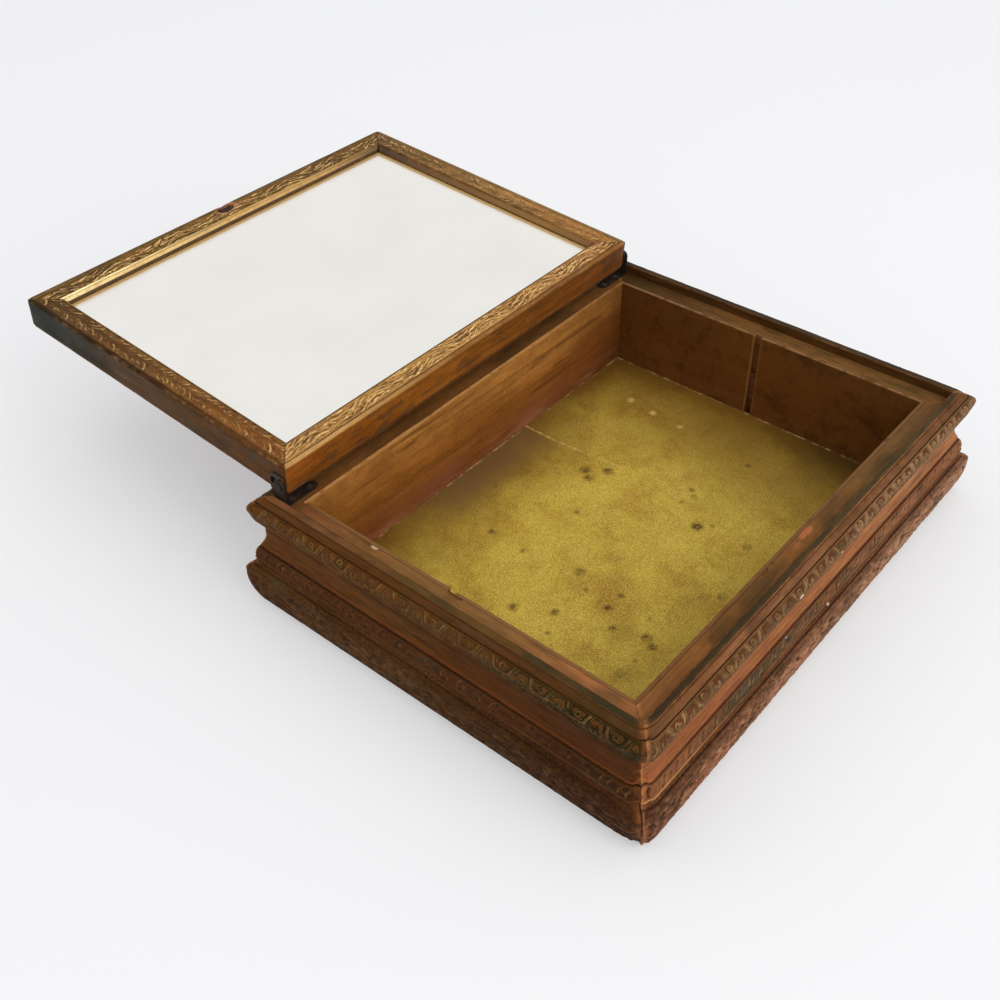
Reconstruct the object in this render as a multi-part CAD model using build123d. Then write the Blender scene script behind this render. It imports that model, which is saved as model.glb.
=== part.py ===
from build123d import *
import math
import os

# An antique wooden box with a mirror lid, stored with the lid laid back.
# Millimetres, +Z up. The hinge line runs along X, the front is at -Y and
# the origin is under the middle of the box, on the table.

# The opening and the box
opening_width = 312.5
opening_depth = 229.0
ledge_height = 73.0
ledge_width = 13.5
lip_height = 6.8
lip_width = 4.7
lining_thickness = 2.0

# The upper moulding, member by member, from the lip outward and down
upper_drop = 31.0
lip_edge = 1.5
quirk = 0.4
fillet_width = 2.8
fillet_drop = 2.3
nose_radius = 4.2
nose_lead = 0.5
nose_top_angle = 75.0
nose_slope = 15.0
nose_face = 6.5
scroll_relief = 1.0
waist_reach = 19.8
waist_drop = 20.5
upper_foot_reach = 22.6

# The base moulding
leaf_reach = 24.6
leaf_drop = 8.0
leaf_relief = 0.9
base_fillet_reach = 25.0
base_fillet_drop = 1.2
scotia_reach = 24.3
torus_reach = 30.5
torus_top_drop = 11.6
torus_waist_drop = 19.0
foot_reach = 25.8

# The bottom, its paper and its nails
rebate_depth = 6.0
bottom_thickness = 8.0
paper_thickness = 0.5
bottom_clearance = 0.3
nail_radius = 0.8
nail_head_radius = 1.6
nail_head = 0.6
nail_clearance = 0.05
bottom_nail_length = 18.0
bottom_nail_pitch = 85.0
corner_nail_length = 24.0
corner_nail_inset = 3.0
upper_nail_drop = 14.0
base_nail_height = 22.0

# The slots for a loose divider, one in each side wall
slot_width = 5.0
slot_place = 2.4

# The lid frame
lid_thickness = 21.3
lid_side_gap = 3.95
lid_front_gap = 7.8
lid_back_gap = 1.2
lid_face = 16.7
lid_rebate = 13.5
lid_lip = 5.1
lid_arris = 0.9
lid_fillet = 1.9
lid_groove = 0.6
lid_band_sink = 0.3
lid_bead = 1.4
outer_round = 1.5
slip_reach = 2.6
slip_top = 1.0
slip_edge = 1.2
glass_clearance = 0.3
glass_thickness = 2.8
backing_thickness = 1.6
panel_thickness = 8.0
panel_bevel = 22.0
panel_bevel_drop = 2.0
cover_bead_width = 6.0
pin_radius_small = 0.6
bead_pin_length = 9.0
bead_pin_pitch = 95.0
catch_mark_radius = 4.0
catch_mark_depth = 2.2
catch_mark_inset = 5.6
catch_mark_place = 3.0

# The two pivot hinges
open_angle = 176.4
pivot_inset = 3.0
pivot_height = 14.54
closed_gap = 0.9
leaf_length = 28.0
leaf_width = 7.6
leaf_thickness = 1.6
leaf_proud = 0.4
ear_thickness = 1.4
ear_gap = 0.3
plate_thickness = 1.4
plate_reach = 12.0
plate_margin = 1.0
pivot_radius = 1.5
pivot_head_radius = 2.8
pivot_head = 0.9
peen_radius = 2.1
peen_thickness = 0.8
peen_clearance = 0.3
running_clearance = 0.06
screw_radius = 1.2
screw_head_radius = 2.2
screw_head = 1.2
screw_slot = 0.5
leaf_screw_length = 11.0
plate_screw_length = 7.5
plate_screw_reach = 9.2
plate_screw_drop = 0.8
leaf_screw_places = (9.0, 22.5)

# Places worked out from the sizes above
half_x = opening_width / 2
half_y = opening_depth / 2
split_height = ledge_height - upper_drop
floor_height = bottom_thickness + paper_thickness
lip_outside = ledge_width + lip_width
lid_width = opening_width + 2 * (ledge_width - lid_side_gap)
lid_depth = opening_depth + 2 * ledge_width - lid_front_gap - lid_back_gap
lid_back = half_y + ledge_width - lid_back_gap
lid_middle = lid_back - lid_depth / 2
lid_bottom = ledge_height + closed_gap
lid_top = lid_bottom + lid_thickness
pivot_y = lid_back - pivot_inset
pivot_z = ledge_height + pivot_height
glass_top = lid_lip + glass_thickness
backing_top = glass_top + backing_thickness
panel_top = backing_top + panel_thickness
hinge_line = Axis((0, pivot_y, pivot_z), (1, 0, 0))

os.makedirs("parts", exist_ok=True)


def save(name, *solids):
    shape = solids[0] if len(solids) == 1 else Compound(children=list(solids))
    export_step(shape, f"parts/{name}.step")


def block(low, high):
    size = [b - a for a, b in zip(low, high)]
    return Pos(*low) * Box(*size, align=(Align.MIN, Align.MIN, Align.MIN))


def rod(start, direction, radius, length):
    place = Plane(origin=start, z_dir=direction)
    return place * Cylinder(radius, length, align=(Align.CENTER, Align.CENTER, Align.MIN))


def bow(start, end, rise):
    # An arc from start to end whose middle stands off the chord by rise, to its left.
    dx = end[0] - start[0]
    dy = end[1] - start[1]
    length = math.hypot(dx, dy)
    middle = ((start[0] + end[0]) / 2 - dy / length * rise, (start[1] + end[1]) / 2 + dx / length * rise)
    return ThreePointArc(start, middle, end)


def outline(start, steps):
    # A closed face: each step is a point to go to and the rise of the way there.
    edges = []
    here = start
    for there, rise in steps + [(start, 0)]:
        edges.append(bow(here, there, rise) if rise else Line(here, there))
        here = there
    return make_face(edges)


def mitred(face, reach_x, reach_y, side, outside, inside):
    # One length of a four-sided frame. The face is drawn with x outward from the
    # reference rectangle and y up; the ends are cut at 45 degrees on its corners.
    turns = {"front": 0, "right": 90, "back": 180, "left": 270}
    across, half = (reach_y, reach_x) if side in ("front", "back") else (reach_x, reach_y)
    place = Plane(origin=(0, -across, 0), x_dir=(0, -1, 0), z_dir=(-1, 0, 0))
    stick = extrude(place * face, amount=half + outside, both=True)
    plan = Polygon(
        (-half - outside, -across - outside), (half + outside, -across - outside),
        (half - inside, -across + inside), (-half + inside, -across + inside), align=None)
    wedge = Pos(0, 0, -1) * extrude(plan, amount=ledge_height + lip_height + lid_thickness + 2)
    return Rot(0, 0, turns[side]) * (stick & wedge)


sides = ("front", "back", "left", "right")
mirror_x = {"left": -1, "right": 1}


# The moulded rails

def nose_points(relief):
    # The nose is a quarter round that runs on into a sloping lower face.
    # The rail is the core of it, and the scroll strip is the skin over the core.
    centre_x = lip_outside + quirk + fillet_width - nose_lead
    centre_z = ledge_height + lip_height - lip_edge - fillet_drop - nose_radius - scroll_relief
    radius = nose_radius + relief
    spots = []
    for angle in (nose_top_angle, (nose_top_angle - nose_slope) / 2, -nose_slope):
        turn = math.radians(angle)
        spots.append((centre_x + radius * math.cos(turn), centre_z + radius * math.sin(turn)))
    slope = math.radians(nose_slope)
    top, middle, low = spots
    end = (low[0] - nose_face * math.sin(slope), low[1] - nose_face * math.cos(slope))
    return top, middle, low, end


def upper_section():
    lip_top = ledge_height + lip_height
    fillet_start = (lip_outside + quirk, lip_top - lip_edge)
    fillet_end = (fillet_start[0] + fillet_width, fillet_start[1] - fillet_drop)
    top, middle, low, end = nose_points(0)
    waist = (waist_reach, ledge_height - waist_drop)
    cove_top = (end[0] - quirk, end[1] - quirk)
    edges = [
        Line((lining_thickness, split_height), (lining_thickness, ledge_height)),
        Line((lining_thickness, ledge_height), (ledge_width, ledge_height)),
        Line((ledge_width, ledge_height), (ledge_width, lip_top)),
        Line((ledge_width, lip_top), (lip_outside, lip_top)),
        Line((lip_outside, lip_top), (lip_outside, fillet_start[1])),
        Line((lip_outside, fillet_start[1]), fillet_start),
        bow(fillet_start, fillet_end, quirk),
        Line(fillet_end, (fillet_end[0], top[1])),
        Line((fillet_end[0], top[1]), top),
        ThreePointArc(top, middle, low),
        Line(low, end),
        Line(end, cove_top),
        bow(cove_top, waist, -quirk * 3),
        bow(waist, (upper_foot_reach, split_height), -quirk * 3),
        Line((upper_foot_reach, split_height), (lining_thickness, split_height)),
    ]
    return make_face(edges)


def scroll_section():
    top, middle, low, end = nose_points(0)
    skin_top, skin_middle, skin_low, skin_end = nose_points(scroll_relief)
    edges = [
        ThreePointArc(top, middle, low),
        Line(low, end),
        Line(end, skin_end),
        Line(skin_end, skin_low),
        ThreePointArc(skin_low, skin_middle, skin_top),
        Line(skin_top, top),
    ]
    return make_face(edges)


def leaf_ends():
    return (upper_foot_reach, split_height - 2 * quirk), (leaf_reach, split_height - leaf_drop)


def base_section():
    leaf_top, leaf_end = leaf_ends()
    fillet_low = (base_fillet_reach, leaf_end[1] - base_fillet_drop)
    scotia = (scotia_reach, fillet_low[1] - quirk * 3)
    torus_top = (foot_reach, split_height - torus_top_drop)
    torus_waist = (torus_reach, split_height - torus_waist_drop)
    inner = lining_thickness + rebate_depth
    return outline((inner, 0), [
        ((inner, bottom_thickness), 0),
        ((lining_thickness, bottom_thickness), 0),
        ((lining_thickness, split_height), 0),
        ((leaf_top[0] - quirk, split_height), 0),
        ((leaf_top[0] - quirk, leaf_top[1]), 0),
        (leaf_top, 0),
        (leaf_end, quirk * 2),
        ((base_fillet_reach, leaf_end[1]), 0),
        (fillet_low, 0),
        (scotia, -quirk / 2),
        (torus_top, -quirk),
        (torus_waist, quirk * 4),
        ((foot_reach, 0), quirk * 3.5),
    ])


def leaf_section():
    leaf_top, leaf_end = leaf_ends()
    return outline(leaf_top, [
        (leaf_end, quirk * 2),
        ((leaf_end[0] + leaf_relief, leaf_end[1]), 0),
        ((leaf_top[0] + leaf_relief, leaf_top[1]), -quirk * 2),
    ])


def round_box(face, side):
    return mitred(face, half_x, half_y, side, torus_reach + 1, 0)


# The hinges, drawn on the left side with the lid shut, then mirrored for the right

ear_outside = lid_width / 2 + plate_thickness + ear_gap + ear_thickness
leaf_top_height = ledge_height + leaf_proud


def for_side(shape, side):
    return shape if side == "left" else mirror(shape, about=Plane.YZ)


def leaf_plan():
    back = pivot_y + leaf_width / 2
    front = pivot_y - leaf_width / 2
    tip = -ear_outside + leaf_length
    edges = [
        Line((-ear_outside, front), (tip - leaf_width / 2, front)),
        ThreePointArc((tip - leaf_width / 2, front), (tip, pivot_y), (tip - leaf_width / 2, back)),
        Line((tip - leaf_width / 2, back), (-ear_outside, back)),
        Line((-ear_outside, back), (-ear_outside, front)),
    ]
    return make_face(edges)


def leaf_pocket():
    return Pos(0, 0, leaf_top_height - leaf_thickness) * extrude(leaf_plan(), amount=leaf_thickness)


def screw(place, length, spare):
    # A countersunk wood screw at the origin of a plane, head up; spare widens it for a hole.
    head = Pos(0, 0, -screw_head) * Cone(
        screw_radius + spare, screw_head_radius + spare, screw_head,
        align=(Align.CENTER, Align.CENTER, Align.MIN))
    shank = Pos(0, 0, -length) * Cylinder(
        screw_radius + spare, length - screw_head, align=(Align.CENTER, Align.CENTER, Align.MIN))
    body = head + shank
    if not spare:
        cut = Box(2 * screw_head_radius, screw_slot, screw_slot, align=(Align.CENTER, Align.CENTER, Align.MAX))
        body = body - cut
    return place * body


def leaf_screw(side, reach, spare):
    spot = Plane(origin=(-ear_outside + reach, pivot_y, leaf_top_height), z_dir=(0, 0, 1))
    return for_side(screw(spot, leaf_screw_length, spare), side)


def plate_screw(side, spare):
    spot = Plane(
        origin=(-lid_width / 2 - plate_thickness, lid_back - plate_screw_reach,
                pivot_z - plate_screw_drop),
        x_dir=(0, 1, 0), z_dir=(-1, 0, 0))
    return for_side(screw(spot, plate_screw_length + plate_thickness, spare), side)


def hinge_leaf(side):
    ear_low = leaf_top_height - leaf_thickness
    flat = leaf_pocket()
    front = pivot_y - leaf_width / 2
    back = pivot_y + leaf_width / 2
    ear_face = Plane(origin=(-ear_outside, 0, 0), x_dir=(0, 1, 0), z_dir=(1, 0, 0)) * make_face([
        Line((front, ear_low), (back, ear_low)),
        Line((back, ear_low), (back, pivot_z)),
        ThreePointArc((back, pivot_z), (pivot_y, pivot_z + leaf_width / 2), (front, pivot_z)),
        Line((front, pivot_z), (front, ear_low)),
    ])
    bracket = flat + extrude(ear_face, amount=ear_thickness)
    bracket -= rod((-ear_outside - 1, pivot_y, pivot_z), (1, 0, 0), pivot_radius, ear_thickness + 2)
    for reach in leaf_screw_places:
        bracket -= leaf_screw("left", reach, nail_clearance)
    return for_side(bracket, side)


def lid_plate(side):
    plate = block(
        (-lid_width / 2 - plate_thickness, lid_back - plate_reach, lid_bottom + plate_margin),
        (-lid_width / 2, lid_back - quirk, lid_top - plate_margin))
    upright = plate.edges().filter_by(Axis.X)
    plate = fillet(upright, plate_margin)
    plate -= rod((-lid_width / 2 - plate_thickness - 1, pivot_y, pivot_z), (1, 0, 0),
                 pivot_radius + running_clearance, plate_thickness + 2)
    return for_side(plate - plate_screw("left", nail_clearance), side)


def hinge_pin(side):
    start = (-ear_outside - pivot_head, pivot_y, pivot_z)
    peen_start = -lid_width / 2 + peen_clearance
    shaft_length = ear_outside + pivot_head + peen_start
    pin = rod(start, (1, 0, 0), pivot_head_radius, pivot_head)
    pin += rod(start, (1, 0, 0), pivot_radius, shaft_length)
    pin += rod((peen_start, pivot_y, pivot_z), (1, 0, 0), peen_radius, peen_thickness)
    return for_side(pin, side)


def peen_pocket(side):
    hole = rod((-lid_width / 2 - 1, pivot_y, pivot_z), (1, 0, 0), peen_radius + peen_clearance,
               1 + 2 * peen_clearance + peen_thickness)
    return for_side(hole, side)


# Nails

def nail(start, direction, length, spare):
    shank = rod(start, direction, nail_radius + spare, length)
    return shank + rod(start, direction, nail_head_radius + spare, nail_head)


def spread(length, pitch):
    # Evenly spaced places along a side, about one pitch apart, clear of the corners.
    count = max(2, round(length / pitch))
    return [(step + 0.5) * length / count - length / 2 for step in range(count)]


def bottom_nails(spare):
    inset = lining_thickness + rebate_depth / 2
    spots = []
    for x in spread(opening_width, bottom_nail_pitch):
        spots += [(x, -half_y - inset), (x, half_y + inset)]
    for y in spread(opening_depth, bottom_nail_pitch):
        spots += [(-half_x - inset, y), (half_x + inset, y)]
    return [nail((x, y, 0), (0, 0, 1), bottom_nail_length, spare) for x, y in spots]


def corner_nails(spare):
    levels = {ledge_height - upper_nail_drop: waist_reach, base_nail_height: torus_reach}
    nails = []
    for height, reach in levels.items():
        for end in (-1, 1):
            for face in (-1, 1):
                start = (end * (half_x + reach - corner_nail_inset), face * (half_y + reach / 2), height)
                nails.append(nail(start, (-end, 0, 0), corner_nail_length, spare))
    return nails


def near(nails, side):
    # The nails whose way passes through one side's length of moulding.
    kept = []
    for piece in nails:
        middle = piece.center()
        if side in ("left", "right") and middle.X * mirror_x[side] > 0:
            kept.append(piece)
        if side == "front" and middle.Y < 0:
            kept.append(piece)
        if side == "back" and middle.Y > 0:
            kept.append(piece)
    return kept


def cut(shape, tools):
    for tool in tools:
        shape = shape - tool
    return shape


# The box: mouldings, applied strips, linings and bottom

holes_for_corners = corner_nails(nail_clearance)
upper_corner_holes = [hole for hole in holes_for_corners if hole.center().Z > split_height]
base_corner_holes = [hole for hole in holes_for_corners if hole.center().Z < split_height]
holes_for_bottom = bottom_nails(nail_clearance)
screw_holes = [leaf_screw(side, reach, nail_clearance) for side in mirror_x for reach in leaf_screw_places]
pockets = [for_side(leaf_pocket(), side) for side in mirror_x]

for side in sides:
    rail = round_box(upper_section(), side)
    rail = cut(rail, near(upper_corner_holes, side))
    if side != "front":
        rail = cut(rail, [*near(pockets, side), *near(screw_holes, side)])
    save(f"{side}_upper_rail", rail.solid())
    base = round_box(base_section(), side)
    base = cut(base, [*near(base_corner_holes, side), *near(holes_for_bottom, side)])
    save(f"{side}_base_rail", base.solid())
    save(f"{side}_scroll_strip", round_box(scroll_section(), side).solid())
    save(f"{side}_leaf_strip", round_box(leaf_section(), side).solid())

save("corner_nails", *corner_nails(0))

for side, sign in (("front", -1), ("back", 1)):
    near_edge = sign * half_y
    far_edge = sign * (half_y + lining_thickness)
    save(f"{side}_lining", block(
        (-half_x - lining_thickness, min(near_edge, far_edge), bottom_thickness),
        (half_x + lining_thickness, max(near_edge, far_edge), ledge_height)))

for side, sign in mirror_x.items():
    low_x = min(sign * half_x, sign * (half_x + lining_thickness))
    high_x = low_x + lining_thickness
    runs = {"front": (-half_y, slot_place - slot_width / 2), "back": (slot_place + slot_width / 2, half_y)}
    for end, (start, stop) in runs.items():
        save(f"{side}_lining_{end}", block((low_x, start, bottom_thickness), (high_x, stop, ledge_height)))

board_reach = lining_thickness + rebate_depth - bottom_clearance
bottom_board = block(
    (-half_x - board_reach, -half_y - board_reach, 0),
    (half_x + board_reach, half_y + board_reach, bottom_thickness))
save("bottom_board", cut(bottom_board, holes_for_bottom))
save("floor_paper", block((-half_x, -half_y, bottom_thickness), (half_x, half_y, floor_height)))
save("bottom_nails", *bottom_nails(0))

for side in mirror_x:
    save(f"{side}_hinge_leaf", hinge_leaf(side))
    save(f"{side}_hinge_pin", hinge_pin(side))
save("leaf_screws", *[leaf_screw(side, reach, 0) for side in mirror_x for reach in leaf_screw_places])


# The lid, drawn shut and then laid back about the hinge line

def laid_back(shape):
    return shape.rotate(hinge_line, -open_angle)


def lid_frame(face, side):
    frame = mitred(face, lid_width / 2, lid_depth / 2, side, 1, lid_face + slip_reach + cover_bead_width)
    return Pos(0, lid_middle, 0) * frame


def lid_section():
    # x runs outward from the outer edge of the lid, so every place inside it is negative.
    face = lid_bottom
    groove = -lid_arris - lid_fillet
    band = groove - lid_groove
    bead = -lid_face + lid_bead
    return outline((0, face + lid_arris), [
        ((-lid_arris, face), lid_arris * 0.2),
        ((groove, face), 0),
        ((groove, face + lid_groove), 0),
        ((band, face + lid_groove), 0),
        ((band, face + lid_band_sink), 0),
        ((bead, face + lid_band_sink), lid_band_sink),
        ((bead, face + lid_groove + lid_band_sink), 0),
        ((-lid_face, face + slip_top), lid_band_sink),
        ((-lid_face, face + lid_lip), 0),
        ((-lid_rebate, face + lid_lip), 0),
        ((-lid_rebate, face + lid_thickness), 0),
        ((-outer_round, face + lid_thickness), 0),
        ((0, face + lid_thickness - outer_round), outer_round * 0.29),
    ])


def slip_section():
    low = lid_bottom + lid_lip
    return outline((-lid_face, low), [
        ((-lid_face, lid_bottom + slip_top), 0),
        ((-lid_face - slip_reach, low - slip_edge), -quirk),
        ((-lid_face - slip_reach, low), 0),
    ])


def cover_bead_section():
    outside = -lid_rebate
    low = lid_bottom + panel_top
    high = lid_top
    inner = outside - cover_bead_width
    return outline((outside, low), [
        ((inner, low), 0),
        ((inner, low + quirk), 0),
        ((outside - 2 * quirk, high), quirk * 3),
        ((outside, high), 0),
    ])


def bead_pins(spare):
    inset = lid_rebate + cover_bead_width / 2
    height = lid_top - 2.0
    pins = []
    for x in spread(lid_width - 2 * lid_face, bead_pin_pitch):
        for sign in (-1, 1):
            pins.append(rod((x, lid_middle + sign * (lid_depth / 2 - inset), height), (0, 0, -1),
                            pin_radius_small + spare, bead_pin_length))
    for y in spread(lid_depth - 2 * lid_face, bead_pin_pitch):
        for sign in (-1, 1):
            pins.append(rod((sign * (lid_width / 2 - inset), lid_middle + y, height), (0, 0, -1),
                            pin_radius_small + spare, bead_pin_length))
    return pins


def lid_nails(spare):
    nails = []
    for end in (-1, 1):
        for face in (-1, 1):
            start = (end * (lid_width / 2 - plate_thickness),
                     lid_middle + face * (lid_depth / 2 - lid_rebate / 2),
                     lid_top - outer_round - nail_head_radius)
            nails.append(nail(start, (-end, 0, 0), corner_nail_length, spare))
    return nails


def sheet(inset, low, high):
    half_wide = lid_width / 2 - inset
    half_long = lid_depth / 2 - inset
    return block(
        (-half_wide, lid_middle - half_long, lid_bottom + low),
        (half_wide, lid_middle + half_long, lid_bottom + high))


def panel():
    # A fielded panel: its margin slopes down to the edge that the cover beads hold.
    inset = lid_rebate + glass_clearance
    edge = sheet(inset, backing_top, panel_top)
    field_inset = inset + panel_bevel
    rise = panel_bevel_drop
    foot = Plane(origin=(0, lid_middle, lid_bottom + panel_top)) * Rectangle(
        lid_width - 2 * (inset + cover_bead_width), lid_depth - 2 * (inset + cover_bead_width))
    crown = Plane(origin=(0, lid_middle, lid_bottom + panel_top + rise)) * Rectangle(
        lid_width - 2 * field_inset, lid_depth - 2 * field_inset)
    return edge + loft([foot.face(), crown.face()])


catch_mark = rod(
    (catch_mark_place, lid_middle - lid_depth / 2 + catch_mark_inset, lid_bottom - 1), (0, 0, 1),
    catch_mark_radius, catch_mark_depth + 1)
peen_pockets = [peen_pocket(side) for side in mirror_x]
plate_screw_holes = [plate_screw(side, nail_clearance) for side in mirror_x]
lid_nail_holes = lid_nails(nail_clearance)
bead_holes = bead_pins(nail_clearance)

for side in sides:
    rail = lid_frame(lid_section(), side)
    rail = cut(rail, [*peen_pockets, *plate_screw_holes, *lid_nail_holes])
    if side == "front":
        rail = rail - catch_mark
    save(f"lid_{side}_rail", laid_back(rail.solid()))
    save(f"gilt_slip_{side}", laid_back(lid_frame(slip_section(), side).solid()))
    bead = cut(lid_frame(cover_bead_section(), side), bead_holes)
    save(f"cover_bead_{side}", laid_back(bead.solid()))

sheet_inset = lid_rebate + glass_clearance
save("mirror_glass", laid_back(sheet(sheet_inset, lid_lip, glass_top)))
save("backing_board", laid_back(sheet(sheet_inset, glass_top, backing_top)))
save("lid_panel", laid_back(cut(panel(), bead_holes).solid()))
save("bead_pins", *[laid_back(pin) for pin in bead_pins(0)])
save("lid_nails", *[laid_back(piece) for piece in lid_nails(0)])
for side in mirror_x:
    save(f"{side}_lid_plate", laid_back(lid_plate(side)))
save("plate_screws", *[laid_back(plate_screw(side, 0)) for side in mirror_x])
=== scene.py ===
import math
from functools import partial

import bmesh
import bpy
import numpy as np
from mathutils import Matrix, Vector


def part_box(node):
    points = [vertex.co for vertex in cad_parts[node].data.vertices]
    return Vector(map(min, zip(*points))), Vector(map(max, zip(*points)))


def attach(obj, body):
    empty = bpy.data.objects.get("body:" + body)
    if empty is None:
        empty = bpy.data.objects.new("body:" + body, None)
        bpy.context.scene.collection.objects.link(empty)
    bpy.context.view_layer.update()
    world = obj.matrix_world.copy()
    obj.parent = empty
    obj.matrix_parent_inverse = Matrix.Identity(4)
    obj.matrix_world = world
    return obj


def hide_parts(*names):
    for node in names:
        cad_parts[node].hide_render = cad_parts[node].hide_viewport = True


# An old wooden box with carved mouldings and a mirror lid laid right back.
# Sizes in the dictionaries are millimetres, and meshes are turned to metres as they are finished.
# Places and distances that a material reads are metres.

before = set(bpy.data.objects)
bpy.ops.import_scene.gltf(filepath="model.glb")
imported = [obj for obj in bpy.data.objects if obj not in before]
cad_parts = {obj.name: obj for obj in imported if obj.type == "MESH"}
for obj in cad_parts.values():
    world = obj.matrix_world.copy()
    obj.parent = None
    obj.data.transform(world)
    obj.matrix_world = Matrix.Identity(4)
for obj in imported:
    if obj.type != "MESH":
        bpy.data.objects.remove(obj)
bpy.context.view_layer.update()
print("frame loaded:", len(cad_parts), "nodes")

mm = 0.001
tiny = 1e-9

box = {"body": "box", "halfX": 156.25, "halfY": 114.5, "ledge": 73.0, "lipHeight": 6.8, "paperTop": 8.5}
lid = {
    "body": "lid", "halfX": 165.8, "halfY": 123.5, "middle": 3.3, "bottom": 73.9, "thick": 21.3,
    "pivotY": 123.8, "pivotZ": 87.54, "angle": -176.4,
}


# Shared shapers

def linear(red, green, blue):
    # a colour as it is seen on screen, 0 to 255, turned to what a shader takes
    def one(value):
        value = value / 255
        return value / 12.92 if value <= 0.04045 else ((value + 0.055) / 1.055) ** 2.4
    return (one(red), one(green), one(blue))


def held(values):
    # no less than 0 and no more than 1
    return np.clip(values, 0, 1)


def smoothNoise(u, v, size, seed, across=None):
    # value noise on a stretched lattice, from -1 to 1
    across = across or size
    cells = 64  # the lattice repeats after as many
    table = np.random.default_rng(seed).uniform(-1, 1, (cells, cells))
    a = np.asarray(u, float) / size
    b = np.asarray(v, float) / across
    ia, ib = np.floor(a).astype(int), np.floor(b).astype(int)
    fa, fb = a - ia, b - ib
    fa, fb = fa * fa * (3 - 2 * fa), fb * fb * (3 - 2 * fb)
    ja, jb = (ia + 1) % cells, (ib + 1) % cells
    ia, ib = ia % cells, ib % cells
    low = table[ia, ib] * (1 - fa) + table[ja, ib] * fa
    high = table[ia, jb] * (1 - fa) + table[ja, jb] * fa
    return low * (1 - fb) + high * fb


def roughNoise(u, v, size, seed, across=None):
    # three such noises laid over each other, each half as large and half as strong as the last
    across = across or size
    total = 0
    for octave in range(3):
        total = total + smoothNoise(u, v, size / 2 ** octave, seed + octave, across / 2 ** octave) / 2 ** octave
    return total / 1.75  # the sum of their strengths


def bowedPoint(start, end, rise, t):
    # the point a share t along an arc that stands off its chord by rise
    length = math.dist(start, end)
    lift = rise * (1 - (2 * t - 1) ** 2)
    a, b = end[0] - start[0], end[1] - start[1]
    return start[0] + a * t - b / length * lift, start[1] + b * t + a / length * lift


def bowPoints(start, end, rise, spacing):
    # points after start, up to and with end
    count = max(1, round(math.dist(start, end) / spacing))
    return [bowedPoint(start, end, rise, step / count) for step in range(1, count + 1)]


def tracedProfile(start, steps):
    # a closed outline as places, each with the name of the member it belongs to
    places, names = [start], [steps[0][3]]
    here = start
    for out, height, rise, name, spacing in steps:
        fresh = bowPoints(here, (out, height), rise, spacing)
        places += fresh
        names += [name] * len(fresh)
        here = (out, height)
    if math.dist(places[0], places[-1]) < tiny:
        places.pop()
        names.pop()
    return np.array(places), names


def profileFacts(places):
    # outward normals, distance round the outline and sharpness of each point
    fullBend = 55  # degrees; a corner that turns as much counts as fully sharp
    before, after = np.roll(places, 1, 0), np.roll(places, -1, 0)
    incoming, outgoing = places - before, after - places
    incoming /= np.maximum(np.linalg.norm(incoming, axis=1, keepdims=True), tiny)
    outgoing /= np.maximum(np.linalg.norm(outgoing, axis=1, keepdims=True), tiny)
    chord = incoming + outgoing
    chord /= np.maximum(np.linalg.norm(chord, axis=1, keepdims=True), tiny)
    area = np.sum(places[:, 0] * after[:, 1] - after[:, 0] * places[:, 1])
    turn = -1 if area > 0 else 1
    normals = np.stack([-chord[:, 1], chord[:, 0]], 1) * turn
    cross = incoming[:, 0] * outgoing[:, 1] - incoming[:, 1] * outgoing[:, 0]
    bend = np.degrees(np.arctan2(cross, np.sum(incoming * outgoing, 1))) * -turn
    distance = np.concatenate([[0], np.cumsum(np.linalg.norm(np.diff(places, axis=0), axis=1))])
    return normals, distance, held(bend / fullBend)


def finishedMesh(name, shape):
    # a bmesh turned to a mesh and freed
    mesh = bpy.data.meshes.new(name)
    shape.to_mesh(mesh)
    shape.free()
    return mesh


def pulledLength(name, places, steps):
    # the outline drawn out from -1 to 1 along X, cut into even steps and closed at both ends
    shape = bmesh.new()
    number = shape.verts.layers.float.new("place")
    ring = []
    for index, (out, height) in enumerate(places):
        corner = shape.verts.new((-1, out, height))
        corner[number] = index
        ring.append(corner)
    edges = [shape.edges.new((ring[index - 1], ring[index])) for index in range(len(ring))]
    drawn = bmesh.ops.extrude_edge_only(shape, edges=edges)["geom"]
    farEnd = [part for part in drawn if isinstance(part, bmesh.types.BMVert)]
    bmesh.ops.translate(shape, verts=farEnd, vec=(2, 0, 0))
    lengths = [edge for edge in shape.edges if abs(edge.verts[0].co.x - edge.verts[1].co.x) > 1]
    bmesh.ops.subdivide_edges(shape, edges=lengths, cuts=steps - 1, use_grid_fill=True)
    ends = [edge for edge in shape.edges if edge.is_boundary]
    bmesh.ops.holes_fill(shape, edges=ends, sides=0)
    bmesh.ops.recalc_face_normals(shape, faces=shape.faces)
    return finishedMesh(name, shape)


def readPoints(mesh):
    flat = np.empty(len(mesh.vertices) * 3)
    mesh.vertices.foreach_get("co", flat)
    return flat.reshape(-1, 3)


def writeLayer(mesh, name, values):
    layer = mesh.attributes.new(name, "FLOAT", "POINT")
    layer.data.foreach_set("value", np.ascontiguousarray(values, dtype=np.float32))


def writeStain(mesh, colours):
    layer = mesh.attributes.new("stain", "FLOAT_COLOR", "POINT")
    full = np.ones((len(colours), 4), dtype=np.float32)
    full[:, :3] = held(colours)
    layer.data.foreach_set("color", full.ravel())


def turnToSide(points, side):
    # drawn as the front; turned about Z to its own side
    x, y, z = points.T
    turned = {"front": (x, y), "right": (-y, x), "back": (-x, -y), "left": (y, -x)}[side]
    return np.stack([turned[0], turned[1], z], 1)


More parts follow.
